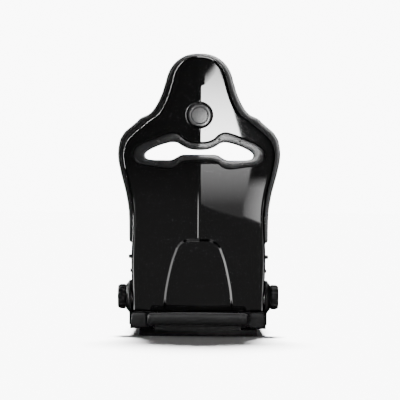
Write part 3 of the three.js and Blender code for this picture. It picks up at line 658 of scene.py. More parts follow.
badge = {"radius": 38.0, "recess": 43.2, "lip": 52.0, "z": neckZ - 2, "depth": 4.2}
looks = {
    "gloss_shell": glossShellLook(),
    "leather": leatherLook("leather"),
    # the piping look is the leather lightened to about eight times its tone: a painted highlight for the
    # bright line along the roll's top
    "piping": leatherLook("piping", (0.03, 0.03, 0.031), (0.3, 0.4)),
    "suede": suedeLook(),
    "matte_trim": trimLook(),
    "knob_plastic": plasticLook(),
    "frame_black": powderLook(),
    "bright_steel": metalLook("brightSteel", (0.55, 0.55, 0.56), 0.22, 0.2, (2, 300, 300)),
    "screw_black": screwLook(),
    "badge_satin": badgeLook(),
    "webbing": webbingLook(),
    "thread": threadLook(),
}
print("materials made")

# opening outlines, right halves from the top centre to the bottom centre
openingHalf = [
    (0, 633), (35, 637), (56, 646), (74, 657), (90, 659), (115, 654), (146, 643), (174, 628), (182, 618),
    (179, 606), (165, 600), (121, 598), (92, 599), (77, 606), (60, 615), (30, 616.5), (0, 616.5),
]
bezelHalf = [
    (0, 655), (28, 657), (48, 665), (69, 682), (87, 688), (118, 681), (150, 668), (188, 653), (213, 636),
    (219, 615), (210, 595), (190, 584), (152, 577), (100, 571), (80, 577), (60, 592), (32, 597.5), (0, 598),
]


def closedCurve(half, count):
    # closed centripetal Catmull-Rom through a half outline and its mirror, as count even steps
    right = np.array(half, float)
    points = np.concatenate([right, right[1:-1][::-1] * (-1, 1)])
    before, here, after, later = (np.roll(points, k, 0) for k in (1, 0, -1, -2))
    knots = [np.zeros(len(points))]
    for a, b in ((before, here), (here, after), (after, later)):
        knots.append(knots[-1] + np.sqrt(np.linalg.norm(b - a, axis=1)))
    t0, t1, t2, t3 = (k[:, None, None] for k in knots)
    t = t1 + (t2 - t1) * np.linspace(0, 1, 24, endpoint=False)[None, :, None]
    p0, p1, p2, p3 = (p[:, None] for p in (before, here, after, later))
    a1 = (t1 - t) / (t1 - t0) * p0 + (t - t0) / (t1 - t0) * p1
    a2 = (t2 - t) / (t2 - t1) * p1 + (t - t1) / (t2 - t1) * p2
    a3 = (t3 - t) / (t3 - t2) * p2 + (t - t2) / (t3 - t2) * p3
    b1 = (t2 - t) / (t2 - t0) * a1 + (t - t0) / (t2 - t0) * a2
    b2 = (t3 - t) / (t3 - t1) * a2 + (t - t1) / (t3 - t1) * a3
    fine = ((t2 - t) / (t2 - t1) * b1 + (t - t1) / (t2 - t1) * b2).reshape(-1, 2)
    loop = np.concatenate([fine, fine[:1]])
    arc = np.concatenate([[0], np.cumsum(np.linalg.norm(np.diff(loop, axis=0), axis=1))])
    at = np.linspace(0, arc[-1], count, endpoint=False)
    return np.stack([np.interp(at, arc, loop[:, k]) for k in (0, 1)], 1)


def outwardOf(curve):
    # the tangent of a clockwise loop turned left
    along = np.roll(curve, -1, 0) - np.roll(curve, 1, 0)
    along /= np.linalg.norm(along, axis=1)[:, None]
    return np.stack([-along[:, 1], along[:, 0]], 1)


def isInside(x, z, curve):
    # even-odd rule, counting the curve's edges left of each point
    hit = np.zeros(np.shape(x), bool)
    a, b = curve, np.roll(curve, -1, 0)
    for (x0, z0), (x1, z1) in zip(a, b):
        cross = (z0 > z) != (z1 > z)
        if z0 != z1:
            hit ^= cross & (x < x0 + (z - z0) / (z1 - z0) * (x1 - x0))
    return hit


opening = closedCurve(openingHalf, 360)
openingOut = outwardOf(opening)


def bothHalves(x, y, z):
    # strips joined into one grid for the right half, then mirrored across x = 0
    half = np.stack([np.concatenate(strips, 1) for strips in (x, y, z)], -1)
    whole = np.concatenate([half[:, :0:-1] * (-1, 1, 1), half], 1)
    return whole.reshape(-1, 3), quads(*whole.shape[:2])


# back shell
def makeShell():
    # rows up the outline; across each row the flat, then a rolled edge of radius r:
    # inward r (1 - sin a), forward r (1 - cos a), then the flange straight forward
    r = back["edge"]
    archRows = np.arange(arch["top"] - 40, arch["top"] + 8, 2.0)
    x, z, nx, nz = outlineRows(back["base"], lambda z: 0 * z, 0, 5.0, archRows)
    ringX, ringZ = x - nx * r, z - nz * r
    ringX[-1] = 0
    crown = np.clip((z - headZ) / (back["top"] - headZ), 0, 1)
    turn = np.arcsin(crown) / (math.pi / 2)
    start = ringZ[np.argmax(z > headZ) - 1]
    middle = np.where(z > headZ, mix(start, back["top"] - r, turn), ringZ)
    near = np.minimum(8, 0.15 * ringX)
    slopeOut = np.minimum(archSide(z), 0.6 * ringX)
    slopeIn = np.minimum(archSide(z) - arch["slope"] - 2, 0.5 * ringX)
    steps = [
        near[:, None] * np.array([0, 0.12, 0.26, 0.45, 0.7])[None],
        mix(near[:, None], slopeIn[:, None], np.linspace(0, 1, 16, endpoint=False)[None]),
        mix(slopeIn[:, None], slopeOut[:, None], np.linspace(0, 1, 7, endpoint=False)[None]),
        mix(slopeOut[:, None], ringX[:, None], np.linspace(0, 1, 26, endpoint=False)[None]),
    ]
    flatX = np.concatenate(steps, 1)
    share = flatX / np.maximum(ringX, 1e-6)[:, None]
    share[-1] = np.linspace(0, 1, flatX.shape[1], endpoint=False)
    flatZ = mix(middle[:, None], ringZ[:, None], share)
    flatY = rearY(flatX, flatZ)
    turnBy = np.linspace(0, math.pi / 2, 10)[None]
    rollX = x[:, None] - nx[:, None] * r * (1 - np.sin(turnBy))
    rollZ = z[:, None] - nz[:, None] * r * (1 - np.sin(turnBy))
    rollX[-1] = 0
    rollY = rearY(rollX, rollZ) - r * (1 - np.cos(turnBy))
    reach = mix(108, 50, smooth(z, 190, 300))
    flangeShare = np.linspace(0, 1, 15)[1:][None]
    flangeY = mix(rollY[:, -1:], (spineY(z) - reach)[:, None], flangeShare)
    flangeX = np.broadcast_to(x[:, None], flangeY.shape)
    flangeZ = np.broadcast_to(z[:, None], flangeY.shape)
    points, faces = bothHalves((flatX, rollX, flangeX), (flatY, rollY, flangeY), (flatZ, rollZ, flangeZ))
    centre = points[faces].mean(1)
    grown = opening + openingOut * 6
    rear = centre[:, 1] > spineY(centre[:, 2]) - 30
    drop = rear & isInside(centre[:, 0], centre[:, 2], grown)
    drop |= rear & (np.hypot(centre[:, 0], centre[:, 2] - badge["z"]) < badge["recess"] + 3.5)
    side = np.abs(centre[:, 0]) > 200
    drop |= side & (np.hypot(centre[:, 1] - hingeY, centre[:, 2] - hingeZ) < 40)
    sheet = faceTowards(meshFrom("shellSheet", points, faces[~drop], closed=False), (0, 1, 0))
    thicken(sheet, back["wall"])
    return joined("backShell", [sheet, makeBadgeSeat()])


def makeBadgeSeat():
    # polar patch on the rear face: lip, rounded wall, floor, then back underneath; closed
    turn = np.linspace(0, 2 * math.pi, 180, endpoint=False)
    radius = [badge["lip"], 48, 46, 44.8, 44.2, 43.7, badge["recess"], badge["recess"], 42.6, 30, 0.0]
    depth = badge["depth"]
    drop = [0.02, 0.02, 0.02, 0.1, 0.35, 0.9, 1.7, depth - 0.5, depth, depth, depth]
    under = [0.0, 30, badge["lip"]]
    r = np.array(radius + under)[:, None]
    x, z = r * np.cos(turn), badge["z"] + r * np.sin(turn)
    floor = spineY(badge["z"]) - np.array(drop)[:, None]
    onFace = np.array([1, 1, 1, 1, 1, 1, 0.8, 0, 0, 0, 0])[:, None]
    top = mix(floor, rearY(x[:11], z[:11]) - np.array(drop)[:, None] + 0.04, onFace)
    below = spineY(badge["z"]) - np.array([depth + 2.5, depth + 2.5, depth + 3.5])[:, None]
    below = np.broadcast_to(below, (len(under), len(turn)))
    y = np.concatenate([top, below])
    y[-1] = rearY(x[-1], z[-1]) - 2.6
    points = np.stack([x, y, z], -1).reshape(-1, 3)
    faces = quads(len(r), len(turn), wrapRows=True, wrapColumns=True)
    return meshFrom("badgeSeat", points, faces, sharp=50)


place(makeShell(), "backrest", "gloss_shell", "back_shell")
print("shell made")


def makeBadge():
    # turned disc: ring groove, raised ring and a low dome, smooth all over
    floor = spineY(badge["z"]) - badge["depth"] + 0.5
    r = badge["radius"]
    profile = [
        (0, 0), (r, 0), (r, 2.4), (r - 0.4, 2.9), (r - 1.2, 3.15), (r - 7, 3.3), (r - 8.2, 3.2),
        (r - 8.8, 2.7), (r - 9.6, 2.5), (r - 10.4, 2.7), (r - 11, 3.1), (r - 11.6, 3.27),
    ]
    profile += [(t * (r - 12), 3.42 - 0.12 * t * t) for t in np.linspace(1, 0, 9)]
    return meshFrom("shellBadge", *lathe(profile, 120, "y", (0, floor, badge["z"])), sharp=50)


place(makeBadge(), "backrest", "badge_satin", "shell_badge")


# harness bezels
def makeRearBezel():
    # ruled between the opening and the outer outline: out t of the way, h above the rear face
    outer = closedCurve(bezelHalf, len(opening))
    section = [
        (0.0, -0.4), (0.0, 2.6), (0.012, 3.4), (0.04, 3.9), (0.1, 4.15), (0.3, 4.45), (0.5, 4.55), (0.7, 4.4),
        (0.9, 3.95), (0.965, 3.6), (0.99, 3.0), (1.0, 2.2), (1.0, 0.15), (0.9, 0.1), (0.5, 0.1), (0.2, 0.1),
    ]
    t, h = np.array(section).T
    x = mix(opening[:, None, 0], outer[:, None, 0], t[None])
    z = mix(opening[:, None, 1], outer[:, None, 1], t[None])
    y = rearY(x, z) + h[None]
    points = np.stack([x, y, z], -1).reshape(-1, 3)
    faces = quads(len(opening), len(t), wrapRows=True, wrapColumns=True)
    return meshFrom("rearBezel", points, faces, sharp=50)


def makeFrontBezel():
    # closed section carried round the opening: (outward, forward from the spine line)
    section = [
        (0.1, -0.2), (0.1, 40), (0.1, 84), (0.5, 85.6), (1.8, 86.6), (4, 87), (9, 87.2), (13, 86.7),
        (15.2, 85.3), (16, 83.2), (15.6, 82.6), (3.6, 82.6), (3.2, 82), (3.2, 40), (3.2, 1),
    ]
    g, f = np.array(section).T
    x = opening[:, None, 0] + openingOut[:, None, 0] * g[None]
    z = opening[:, None, 1] + openingOut[:, None, 1] * g[None]
    y = np.where(f[None] > 60, spineY(z) - f[None], rearY(x, z) - f[None])
    points = np.stack([x, y, z], -1).reshape(-1, 3)
    faces = quads(len(opening), len(g), wrapRows=True, wrapColumns=True)
    return meshFrom("frontBezel", points, faces, sharp=50)


def makeShadowGapLine():
    # a thin near-black tube laid on the shell along the rear bezel's outer outline: painted shade standing in
    # for the shadow gap round the bezel
    line = closedCurve(bezelHalf, len(opening))
    line = line + 1.4 * outwardOf(line)
    x, z = line.T
    path = np.stack([x, rearY(x, z) + 0.8, z], 1)
    return meshFrom("bezelShadowGap", *tube(path, 2.4, 8, closed=True), sharp=0)


place(makeRearBezel(), "backrest", "matte_trim", "rear_bezel")
# the shadow-gap tube takes the near-black frame look, not the trim: painted shade round the bezel
place(makeShadowGapLine(), "backrest", "matte_trim", material="frame_black")
place(makeFrontBezel(), "backrest", "matte_trim", "front_bezel")


def socketHead(name, centre, axis, radius, height, socket, stem=6.0, stemRadius=1.8):
    # button head with a six-sided socket: radius * cos(30) / cos(angle within a sixth) inside
    profile = [
        (0, -stem), (stemRadius, -stem), (stemRadius, 0), (radius, 0), (radius, height * 0.35),
        (radius * 0.93, height * 0.7), (radius * 0.78, height * 0.94), (radius * 0.62, height),
        (socket * 1.08, height), (socket, height - 0.15), (socket, height * 0.3), (0, height * 0.25),
    ]
    hexed = np.array([0, 0, 0, 0, 0, 0, 0, 0, 0.7, 1, 1, 0])[:, None]

    def radial(turn, row):
        within = (turn + math.pi / 6) % (math.pi / 3) - math.pi / 6
        return mix(1.0, math.cos(math.pi / 6) / np.cos(within), hexed[row[:, 0]])

    return meshFrom(name, *lathe(profile, 36, axis, centre, radial), sharp=32)


bezelScrew = {"count": 8, "radius": 3.7, "height": 2.1, "socket": 1.5, "seat": 4.3}
for k in range(1, bezelScrew["count"] + 1):
    node = f"bezel_screw_{k}"
    low, high = boxOf(node)
    cx, cz = (low + high)[[0, 2]] / 2
    screw = socketHead(f"bezelScrew{k}", (0, 0, 0), "y",
                       bezelScrew["radius"], bezelScrew["height"], bezelScrew["socket"])
    tilt = Matrix.Rotation(math.atan(back["lean"] - 2 * bendRate * (cz - back["bendZ"])), 4, "X")
    tilt = Matrix.Rotation(math.copysign(-math.atan(back["ridge"]), -cx), 4, "Z") @ tilt
    seat = Vector((cx, float(rearY(cx, cz)) + bezelScrew["seat"], cz))
    screw.data.transform(Matrix.Translation(seat * 0.001) @ tilt)
    place(screw, "backrest", "screw_black", node)
print("bezels made")


# upholstered cover
coverLow, _ = boxOf("backrest_cover")
cover = {
    "back": 50.8,
    "front": 81.8,
    "topBand": 13.0,
    "hip": 203.0,
    "seam": 0.36,
    "groove": 1.6,
    "tuck": 22.0,
    "skin": 2.2,
    "stitchGap": 0.085,
}
coverBand = curveThrough([
    (coverLow[2], -3.5), (305, 9), (345, 11.5), (mix(waistZ, shoulderZ, 0.1), 14.5), (shoulderZ, 19),
    (mix(shoulderZ, neckZ, 0.7), 25), (headZ, 22), (back["top"], 22),
])


def coverRows(step=6.0):
    # the cover's outer edge, straight at the hips, and its outward normals
    x, z, nx, nz = outlineRows(coverLow[2], coverBand, cover["topBand"], step)
    inHip = 1 - smooth(z, 304, 324)
    x = mix(x, cover["hip"], inHip)
    tangent = np.stack([np.gradient(x), np.gradient(z)], 1)
    tangent[-1] = (-1, 0)
    tangent /= np.linalg.norm(tangent, axis=1)[:, None]
    return x, z, tangent[:, 1], -tangent[:, 0]


def coverPoint(x, z, nx, nz, turn, swell=0.0):
    # round the edge: inward r (1 - sin a), forward centre - r cos a; a seam groove near the back
    r = (cover["front"] - cover["back"]) / 2
    groove = cover["groove"] * np.exp(-(((turn / math.pi) - cover["seam"]) / 0.035) ** 2)
    rr = r - groove + swell
    px = x - nx * (r - rr * np.sin(turn))
    pz = z - nz * (r - rr * np.sin(turn))
    return px, spineY(pz) - ((cover["front"] + cover["back"]) / 2 - rr * np.cos(turn)), pz


def makeCover():
    # a skin: flat front, round the edge, and tucked in behind
    x, z, nx, nz = coverRows()
    r = (cover["front"] - cover["back"]) / 2
    ringX, ringZ = x - nx * r, z - nz * r
    ringX[-1] = 0
    start = ringZ[np.argmax(z > headZ) - 1]
    top = back["top"] + cover["topBand"]
    turnShare = np.arcsin(np.clip((z - headZ) / (top - headZ), 0, 1)) / (math.pi / 2)
    middle = np.where(z > headZ, mix(start, top - r, turnShare), ringZ)
    share = np.linspace(0, 1, 34, endpoint=False)[None]
    flatX = ringX[:, None] * share
    flatZ = mix(middle[:, None], ringZ[:, None], share)
    flatY = spineY(flatZ) - cover["front"]
    turn = np.linspace(math.pi, 0, 33)[None]
    one = [a[:, None] for a in (x, z, nx, nz)]
    edgeX, edgeY, edgeZ = coverPoint(*one, turn)
    edgeX[-1] = 0
    tuck = np.linspace(0, 1, 6)[1:][None]
    tuckX = edgeX[:, -1:] - nx[:, None] * tuck * cover["tuck"]
    tuckZ = edgeZ[:, -1:] - nz[:, None] * tuck * cover["tuck"]
    tuckX[-1] = 0
    tuckY = spineY(tuckZ) - cover["back"]
    points, faces = bothHalves((flatX, edgeX, tuckX), (flatY, edgeY, tuckY), (flatZ, edgeZ, tuckZ))
    centre = points[faces].mean(1)
    drop = isInside(centre[:, 0], centre[:, 2], opening + openingOut * 8)
    sheet = faceTowards(meshFrom("backrestCover", points, faces[~drop], closed=False), (0, -1, 0))
    return thicken(sheet, cover["skin"])


backCover = place(makeCover(), "backrest", "leather", "backrest_cover")


def edgeRow(turnShare, swell, fromZ):
    # a line round the cover's edge at one angle, hip to hip over the head, and its normals
    x, z, nx, nz = coverRows(5.0)
    turn = np.full(len(z), math.pi * turnShare)
    px, py, pz = coverPoint(x, z, nx, nz, turn, swell)
    px[-1] = 0
    keep = z > fromZ
    line = np.stack([px, py, pz], 1)[keep]
    normal = np.stack([nx * np.sin(turn), np.cos(turn), nz * np.sin(turn)], 1)[keep]
    return [np.concatenate([a * (-1, 1, 1), a[-2::-1]]) for a in (line, normal)]


sewn = []
for turnShare in (cover["seam"] - cover["stitchGap"], cover["seam"] + cover["stitchGap"]):
    sewn.append(meshFrom("row", *stitches(*edgeRow(turnShare, 0.0, 322), radius=0.5, lift=0.1), sharp=0))
place(joined("coverStitches", sewn), "backrest", "leather", material="thread")
piping, _ = edgeRow(cover["seam"], -0.4, 300)
place(meshFrom("coverPiping", *tube(piping, 1.5, 8), sharp=0), "backrest", "leather")
print("cover made")


# pads: the CAD solid remeshed, rounded, blown up as cloth, then trimmed to its room
pads = [
    # node, name, slot, body, voxel, shrink, pressure, cap, fill
    ("lumbar_pad", "lumbarPad", "suede", "backrest", 5, 3.0, 4.0, 9, 0.75),
    ("upper_back_pad", "upperBackPad", "suede", "backrest", 5, 3.0, 4.0, 8, 0.75),
    ("head_pad", "headPad", "suede", "backrest", 5, 3.0, 4.0, 8, 0.75),
    ("backrest_bolster_left", "backrestBolster", "leather", "backrest", 6, 3.5, 4.0, 10, 0.85),
    ("shoulder_wing_left", "shoulderWing", "leather", "backrest", 5, 3.0, 4.0, 8, 0.85),
    ("cushion_pad", "cushionPad", "suede", "base", 6, 3.5, 4.0, 12, 0.75),
    ("thigh_roll", "thighRoll", "leather", "base", 6, 3.5, 4.0, 10, 0.85),
    ("cushion_bolster_left", "cushionBolster", "leather", "base", 6, 3.5, 4.0, 10, 0.85),
]


def mergedCopy(node, name, flatAngle=0):
    # the CAD node's own solid, doubled points merged and flat neighbours joined up to the angle
    obj = linked(name, cadNodes[node].data.copy())
    work = bmesh.new()
    work.from_mesh(obj.data)
    bmesh.ops.remove_doubles(work, verts=work.verts, dist=1e-5)
    if flatAngle:
        bmesh.ops.dissolve_limit(
            work, angle_limit=math.radians(flatAngle), verts=work.verts, edges=work.edges)
    work.to_mesh(obj.data)
    work.free()
    return obj


def roundedCopy(node, name, voxel, shrink):
    # voxel remesh, then rounds of moving each point to its neighbours' mean, drawn in by shrink
    obj = mergedCopy(node, name)
    remesh = obj.modifiers.new("remesh", "REMESH")
    remesh.mode = "VOXEL"
    remesh.voxel_size = voxel * 0.001
    relax = obj.modifiers.new("relax", "SMOOTH")
    relax.factor = 0.6
    relax.iterations = 10
    applied(obj)
    points, normals = pointsOf(obj), normalsOf(obj)
    setPoints(obj, points - normals * shrink)
    return obj


def pointsOf(obj):
    # a mesh's points, in millimetres
    flat = np.empty(len(obj.data.vertices) * 3)
    obj.data.vertices.foreach_get("co", flat)
    return flat.reshape(-1, 3) * 1000


def normalsOf(obj):
    # the normals at those points
    flat = np.empty(len(obj.data.vertices) * 3)
    obj.data.vertex_normals.foreach_get("vector", flat)
    return flat.reshape(-1, 3)


def setPoints(obj, points):
    # points in millimetres put back
    obj.data.vertices.foreach_set("co", (points * 0.001).ravel())
    obj.data.update()


def inflate(objs, pressures, caps, frames=20):
    # all pads blown up together, then each point moved at most cap from where it began
    scene = bpy.context.scene
    scene.frame_start, scene.frame_end = 1, frames
    starts = [pointsOf(o) for o in objs]
    for obj, pressure in zip(objs, pressures):
        cloth = obj.modifiers.new("cloth", "CLOTH")
        cloth.settings.quality = 4
        cloth.settings.mass = 0.4
        cloth.settings.tension_stiffness = 12
        cloth.settings.compression_stiffness = 12
        cloth.settings.shear_stiffness = 5
        cloth.settings.bending_stiffness = 1.5
        cloth.settings.use_pressure = True
        cloth.settings.uniform_pressure_force = pressure
        cloth.settings.effector_weights.gravity = 0
        cloth.point_cache.frame_start, cloth.point_cache.frame_end = 1, frames
    for f in range(1, frames + 1):
        scene.frame_set(f)
    for obj, start, cap in zip(objs, starts, caps):
        applied(obj)
        moved = pointsOf(obj) - start
        far = np.linalg.norm(moved, axis=1)[:, None]
        setPoints(obj, start + moved * np.minimum(1, cap / np.maximum(far, 1e-9)))
    scene.frame_set(1)


def channel(value, at, width):
    # exp(-((v - at) / width)^2)
    return np.exp(-(((value - at) / width) ** 2))


def trimPad(obj, node, margin=0.6, soft=3):
    # soft limit near the CAD node's box: top + soft tanh((p - top) / soft), soft inside each face
    low, high = boxOf(node)
    points = pointsOf(obj)
    low, high = low - margin, high + margin
    top, foot = high - soft, low + soft
    points = np.where(points > top, top + soft * np.tanh((points - top) / soft), points)
    points = np.where(points < foot, foot - soft * np.tanh((foot - points) / soft), points)
    setPoints(obj, points)


made = {}
for node, name, _, _, voxel, shrink, *_ in pads:
    made[node] = roundedCopy(node, name, voxel, shrink)
inflate([made[p[0]] for p in pads], [p[6] for p in pads], [p[7] for p in pads])
for node, *_ in pads:
    trimPad(made[node], node)
print("pads blown up")

# sewn channels: node, the axis that they are spaced along (1 for y, 2 for z) and where they lie
channels = {
    "lumbar_pad": (2, (165, 225, 285, 345)),
    "upper_back_pad": (2, (450, 510)),
    "cushion_pad": (1, (-160, -100, -40)),
}
channelCut = {"width": 3.2, "depth": 4.5, "fade": 12.0, "seamGap": 4.5, "inset": 14.0}
for node, (axisIndex, places) in channels.items():
    obj = made[node]
    points, normals = pointsOf(obj), normalsOf(obj)
    facing = np.clip(-normals[:, 1] if axisIndex == 2 else normals[:, 2], 0, 1) ** 0.5
    side = np.clip((boxOf(node)[1][0] - np.abs(points[:, 0])) / channelCut["fade"], 0, 1)
    cuts = sum(channel(points[:, axisIndex], at, channelCut["width"]) for at in places)
    pressed = cuts * facing * side * channelCut["depth"]
    setPoints(obj, points - normals * pressed[:, None])

for node, name, slotName, body, *rest in pads:
    obj = made[node]
    fine = obj.modifiers.new("fine", "SUBSURF")
    fine.levels = fine.render_levels = 1
    applied(obj)
    shade(obj.data, 0)
    if node.endswith("_left"):
        pair = placePair(obj, name, body, slotName, node[:-5])
    else:
        pair = (place(obj, body, slotName, node),)


def surfaceLine(obj, xs, fixed, axisIndex, direction):
    # points where rays from outside meet a pad, and the normals there
    bpy.context.view_layer.update()
    line, normal = [], []
    for x in xs:
        start = Vector((x, fixed, 600) if axisIndex == 1 else (x, -600, fixed)) * 0.001
        hit, where, n, _ = obj.ray_cast(start, Vector(direction))
        if hit:
            line.append(np.array(where) * 1000)
            normal.append(np.array(n))
    return np.array(line), np.array(normal)


rowsByBody = {name: [] for name in ("backrest", "base")}
for node, (axisIndex, places) in channels.items():
    obj = made[node]
    half = boxOf(node)[1][0] - channelCut["inset"]
    body, inward = ("base", (0, 0, -1)) if axisIndex == 1 else ("backrest", (0, 1, 0))
    for at in places:
        for offset in (-channelCut["seamGap"], channelCut["seamGap"]):
            line, normal = surfaceLine(obj, np.linspace(-half, half, 60), at + offset, axisIndex, inward)
            if len(line) > 4:
                rowsByBody[body].append(meshFrom("row", *stitches(line, normal), sharp=0))
for body, rows in rowsByBody.items():
    place(joined(body + "PadStitches", rows), body, "suede", material="thread")
print("pads finished")


# knobs and recliner covers
knobLow, knobHigh = boxOf("recliner_knob_left")
coneLow, coneHigh = boxOf("recliner_cover_left")
knob = {"radius": 43.0, "flutes": 12, "depth": 2.6, "dish": 3.0, "cap": 18.0}


def makeKnob():
    # radius less depth * (cosine of one turn for each flute, clipped)^1.4, faded at both edges
    r, x0, x1 = knob["radius"], knobLow[0], knobHigh[0]
    bore, capRoom, dish = 7, knob["cap"] + 0.8, x1 - knob["dish"]
    profile = [
        (bore, x0 + 0.2), (r - 5.5, x0 + 0.2), (r - 2.6, x0 + 0.9), (r - 0.8, x0 + 2.6), (r, x0 + 5),
        (r, x0 + 9), (r - 0.1, x0 + 13), (r - 0.4, x0 + 17), (r - 1.1, x0 + 20), (r - 2.4, x0 + 22.6),
        (r - 4.2, x1 - 2.0), (r - 6.4, x1 - 0.8), (r - 8.6, x1 - 0.35), (r - 10.5, x1 - 0.8),
        (r - 13, x1 - 2.1), (r - 17, dish), (capRoom, dish - 0.1), (capRoom, dish - 2), (bore, dish - 2),
    ]
    fade = np.array([0, 0, 0.3, 0.8, 1, 1, 1, 1, 1, 0.95, 0.8, 0.5, 0.2, 0.05, 0, 0, 0, 0, 0])[:, None]

    def radial(turn, row):
        wave = np.clip(0.5 + 0.75 * np.cos(turn * knob["flutes"]), 0, 1)
        return 1 - knob["depth"] / r * (wave**1.4) * fade[row[:, 0]]

    points, _ = lathe(profile, 240, "x", (0, hingeY, hingeZ), radial)
    faces = quads(len(profile), 240, wrapRows=True, wrapColumns=True)
    return meshFrom("reclinerKnob", points, faces, sharp=40)


placePair(makeKnob(), "reclinerKnob", "recliner_drive", "knob_plastic", "recliner_knob")


def makeCap():
    # low domed cap with a turned ring, in the knob's dish
    x1, r = knobHigh[0], knob["cap"]
    profile = [
        (0, x1 - 4.8), (r, x1 - 4.8), (r, x1 - 3.2), (r - 0.5, x1 - 2.7), (r - 2.2, x1 - 2.45),
        (r - 3, x1 - 2.7), (r - 3.6, x1 - 2.4), (r - 8, x1 - 1.9), (r - 14, x1 - 1.6), (0, x1 - 1.55),
    ]
    return meshFrom("knobCap", *lathe(profile, 72, "x", (0, hingeY, hingeZ)), sharp=40)


placePair(makeCap(), "knobCap", "recliner_drive", "badge_satin", "knob_cap")


reclinerShape = {
    "coneLength": 14.0,
    "rimFrom": -46,
    "rimTo": 200,
    "tailFront": -37.0,
    "tailRear": 26.0,
    "tailTop": -34.0,
}


def endCaps(rows, columns):
    # the two end faces of a grid that is closed round its columns
    return [list(range(columns)), [(rows - 1) * columns + k for k in range(columns)][::-1]]


def makeCone(x0, x1, r0, r1):
    # thin-walled rounded frustum
    middle = mix(r1, r0, 0.5)
    profile = [
        (8, x1), (r1 - 2, x1), (r1 - 0.4, x1 - 0.5), (r1 + 0.6, x1 - 1.8), (middle, x1 - 7),
        (r0 - 0.9, x0 + 3.4), (r0, x0 + 1.2), (r0, x0), (r0 - 2.3, x0), (r0 - 3, x0 + 2.6),
        (middle - 2.6, x1 - 8.6), (r1 - 3.5, x1 - 2.6), (8, x1 - 2.4),
    ]
    points, _ = lathe(profile, 96, "x", (0, hingeY, hingeZ))
    return meshFrom("cone", points, quads(len(profile), 96, wrapRows=True, wrapColumns=True), sharp=35)


def makeRim(x0, inner, r):
    # the cone's wall carried on towards the shell, over part of a turn: (y, z) = r (cos a, sin a)
    turn = np.radians(np.linspace(reclinerShape["rimFrom"], reclinerShape["rimTo"], 72))[:, None]
    radii = np.array([r, r, r - 0.5, r - 1.9, r - 2.4, r - 2.4])[None]
    along = np.array([x0 + 0.6, inner + 0.5, inner, inner, inner + 0.5, x0 + 0.6])[None]
    ring = np.stack([along + 0 * turn, hingeY + radii * np.cos(turn), hingeZ + radii * np.sin(turn)], -1)
    faces = quads(72, 6, wrapColumns=True).tolist() + endCaps(72, 6)
    return meshFrom("rim", ring.reshape(-1, 3), faces, sharp=35)


def makeTail(x0, zLow):
    # flat plate down to the base, a little narrower at its foot
    z = np.linspace(zLow, hingeZ + reclinerShape["tailTop"], 14)
    taper = smooth(z, zLow, zLow + 12)
    front = hingeY + reclinerShape["tailFront"] + 6 * (1 - taper)
    rear = hingeY + reclinerShape["tailRear"] - 6 * (1 - taper)
    out, share = np.array([(0, 0.0), (0, 1.0), (2.2, 1.0), (3, 0.93), (3, 0.07), (2.2, 0.0)]).T
    shape = (len(z), len(out))
    points = np.stack([
        np.broadcast_to(x0 + out[None], shape),
        mix(front[:, None], rear[:, None], share[None]),
        np.broadcast_to(z[:, None], shape),
    ], -1)
    faces = quads(*shape, wrapColumns=True).tolist() + endCaps(*shape)
    return meshFrom("tail", points.reshape(-1, 3), faces, sharp=35)


def makeReclinerCover():
    # cone, rim and tail as one moulding
    x1 = coneHigh[0]
    x0 = x1 - reclinerShape["coneLength"]
    r0 = coneHigh[2] - hingeZ
    parts = [
        makeCone(x0, x1, r0, knob["radius"] + 1),
        makeRim(x0, coneLow[0], r0),
        makeTail(x0, coneLow[2]),
    ]
    return joined("reclinerCover", parts)


placePair(makeReclinerCover(), "reclinerCover", "base", "knob_plastic", "recliner_cover")

sideBolts = [
    # name, head height, head radius, socket radius, how far the head's seat is inside the CAD bolt's end
    ("upper", 9.0, 7.0, 3.2, 9.5),
    ("lower", 3.6, 6.5, 2.4, 4.0),
]
for name, height, head, socketSize, seat in sideBolts:
    low, high = boxOf(f"side_bolt_{name}_left")
    cy, cz = (low + high)[1:] / 2
    start = high[0] - seat
    bolt = socketHead("sideBolt", (start, cy, cz), "x", head, height, socketSize,
                      stem=start - low[0], stemRadius=4.0)
    placePair(bolt, "sideBolt" + name.title(), "backrest", "screw_black", "side_bolt_" + name)
print("recliner made")


# rear roll: gathered ends, wrinkles fading inward, and a piping line along its top
rollLow, rollHigh = boxOf("rear_roll")
roll = {
    "radius": (rollHigh[2] - rollLow[2]) / 2 + 0.4,
    "half": rollHigh[0],
    "y": (rollLow[1] + rollHigh[1]) / 2,
    "z": (rollLow[2] + rollHigh[2]) / 2,
    "wrinkle": 1.5,
    "gather": 16.0,
    "arch": 2.2,
    "pipeAngle": math.radians(62),
    "seamAngle": math.radians(13),
}


def rollRadius(x, angle):
    # r (gathered towards both ends) + wrinkles that run round the roll near the ends + faint ripples
    edge = roll["half"] - np.abs(x)
    fold = np.exp(-edge / 34)
    ripple = 0.6 * np.sin(x / 3.1 + 1.6 * np.sin(2 * angle + x / 19))
    ripple = ripple + 0.4 * np.sin(x / 5.3 + angle * 1.7 + 1.3)
    broad = 0.5 * np.sin(x / 41 + 0.7) * np.sin(angle + 0.4) + 0.35 * np.sin(x / 17 + 2 * angle)
    gathered = np.sqrt(np.clip(1 - np.clip(1 - edge / roll["gather"], 0, 1) ** 2.2, 0, 1))
    r = roll["radius"] - roll["wrinkle"] * 0.7 + roll["wrinkle"] * fold * ripple + 0.5 * broad
    return r * (0.3 + 0.7 * gathered)


def rollPoint(x, angle, lift=0.0):
    # (y, z) = r (cos a, sin a), flatter above, arched by arch (1 - (x / half)^2)
    r = rollRadius(x, angle) + lift
    sag = roll["arch"] * (1 - (x / roll["half"]) ** 2) - roll["arch"] / 2
    squash = 1 - 0.06 * np.clip(np.sin(angle), 0, 1)
    y = roll["y"] + r * np.cos(angle)
    z = roll["z"] + sag + r * np.sin(angle) * squash
    return np.stack([x + 0 * r, y, z], -1)


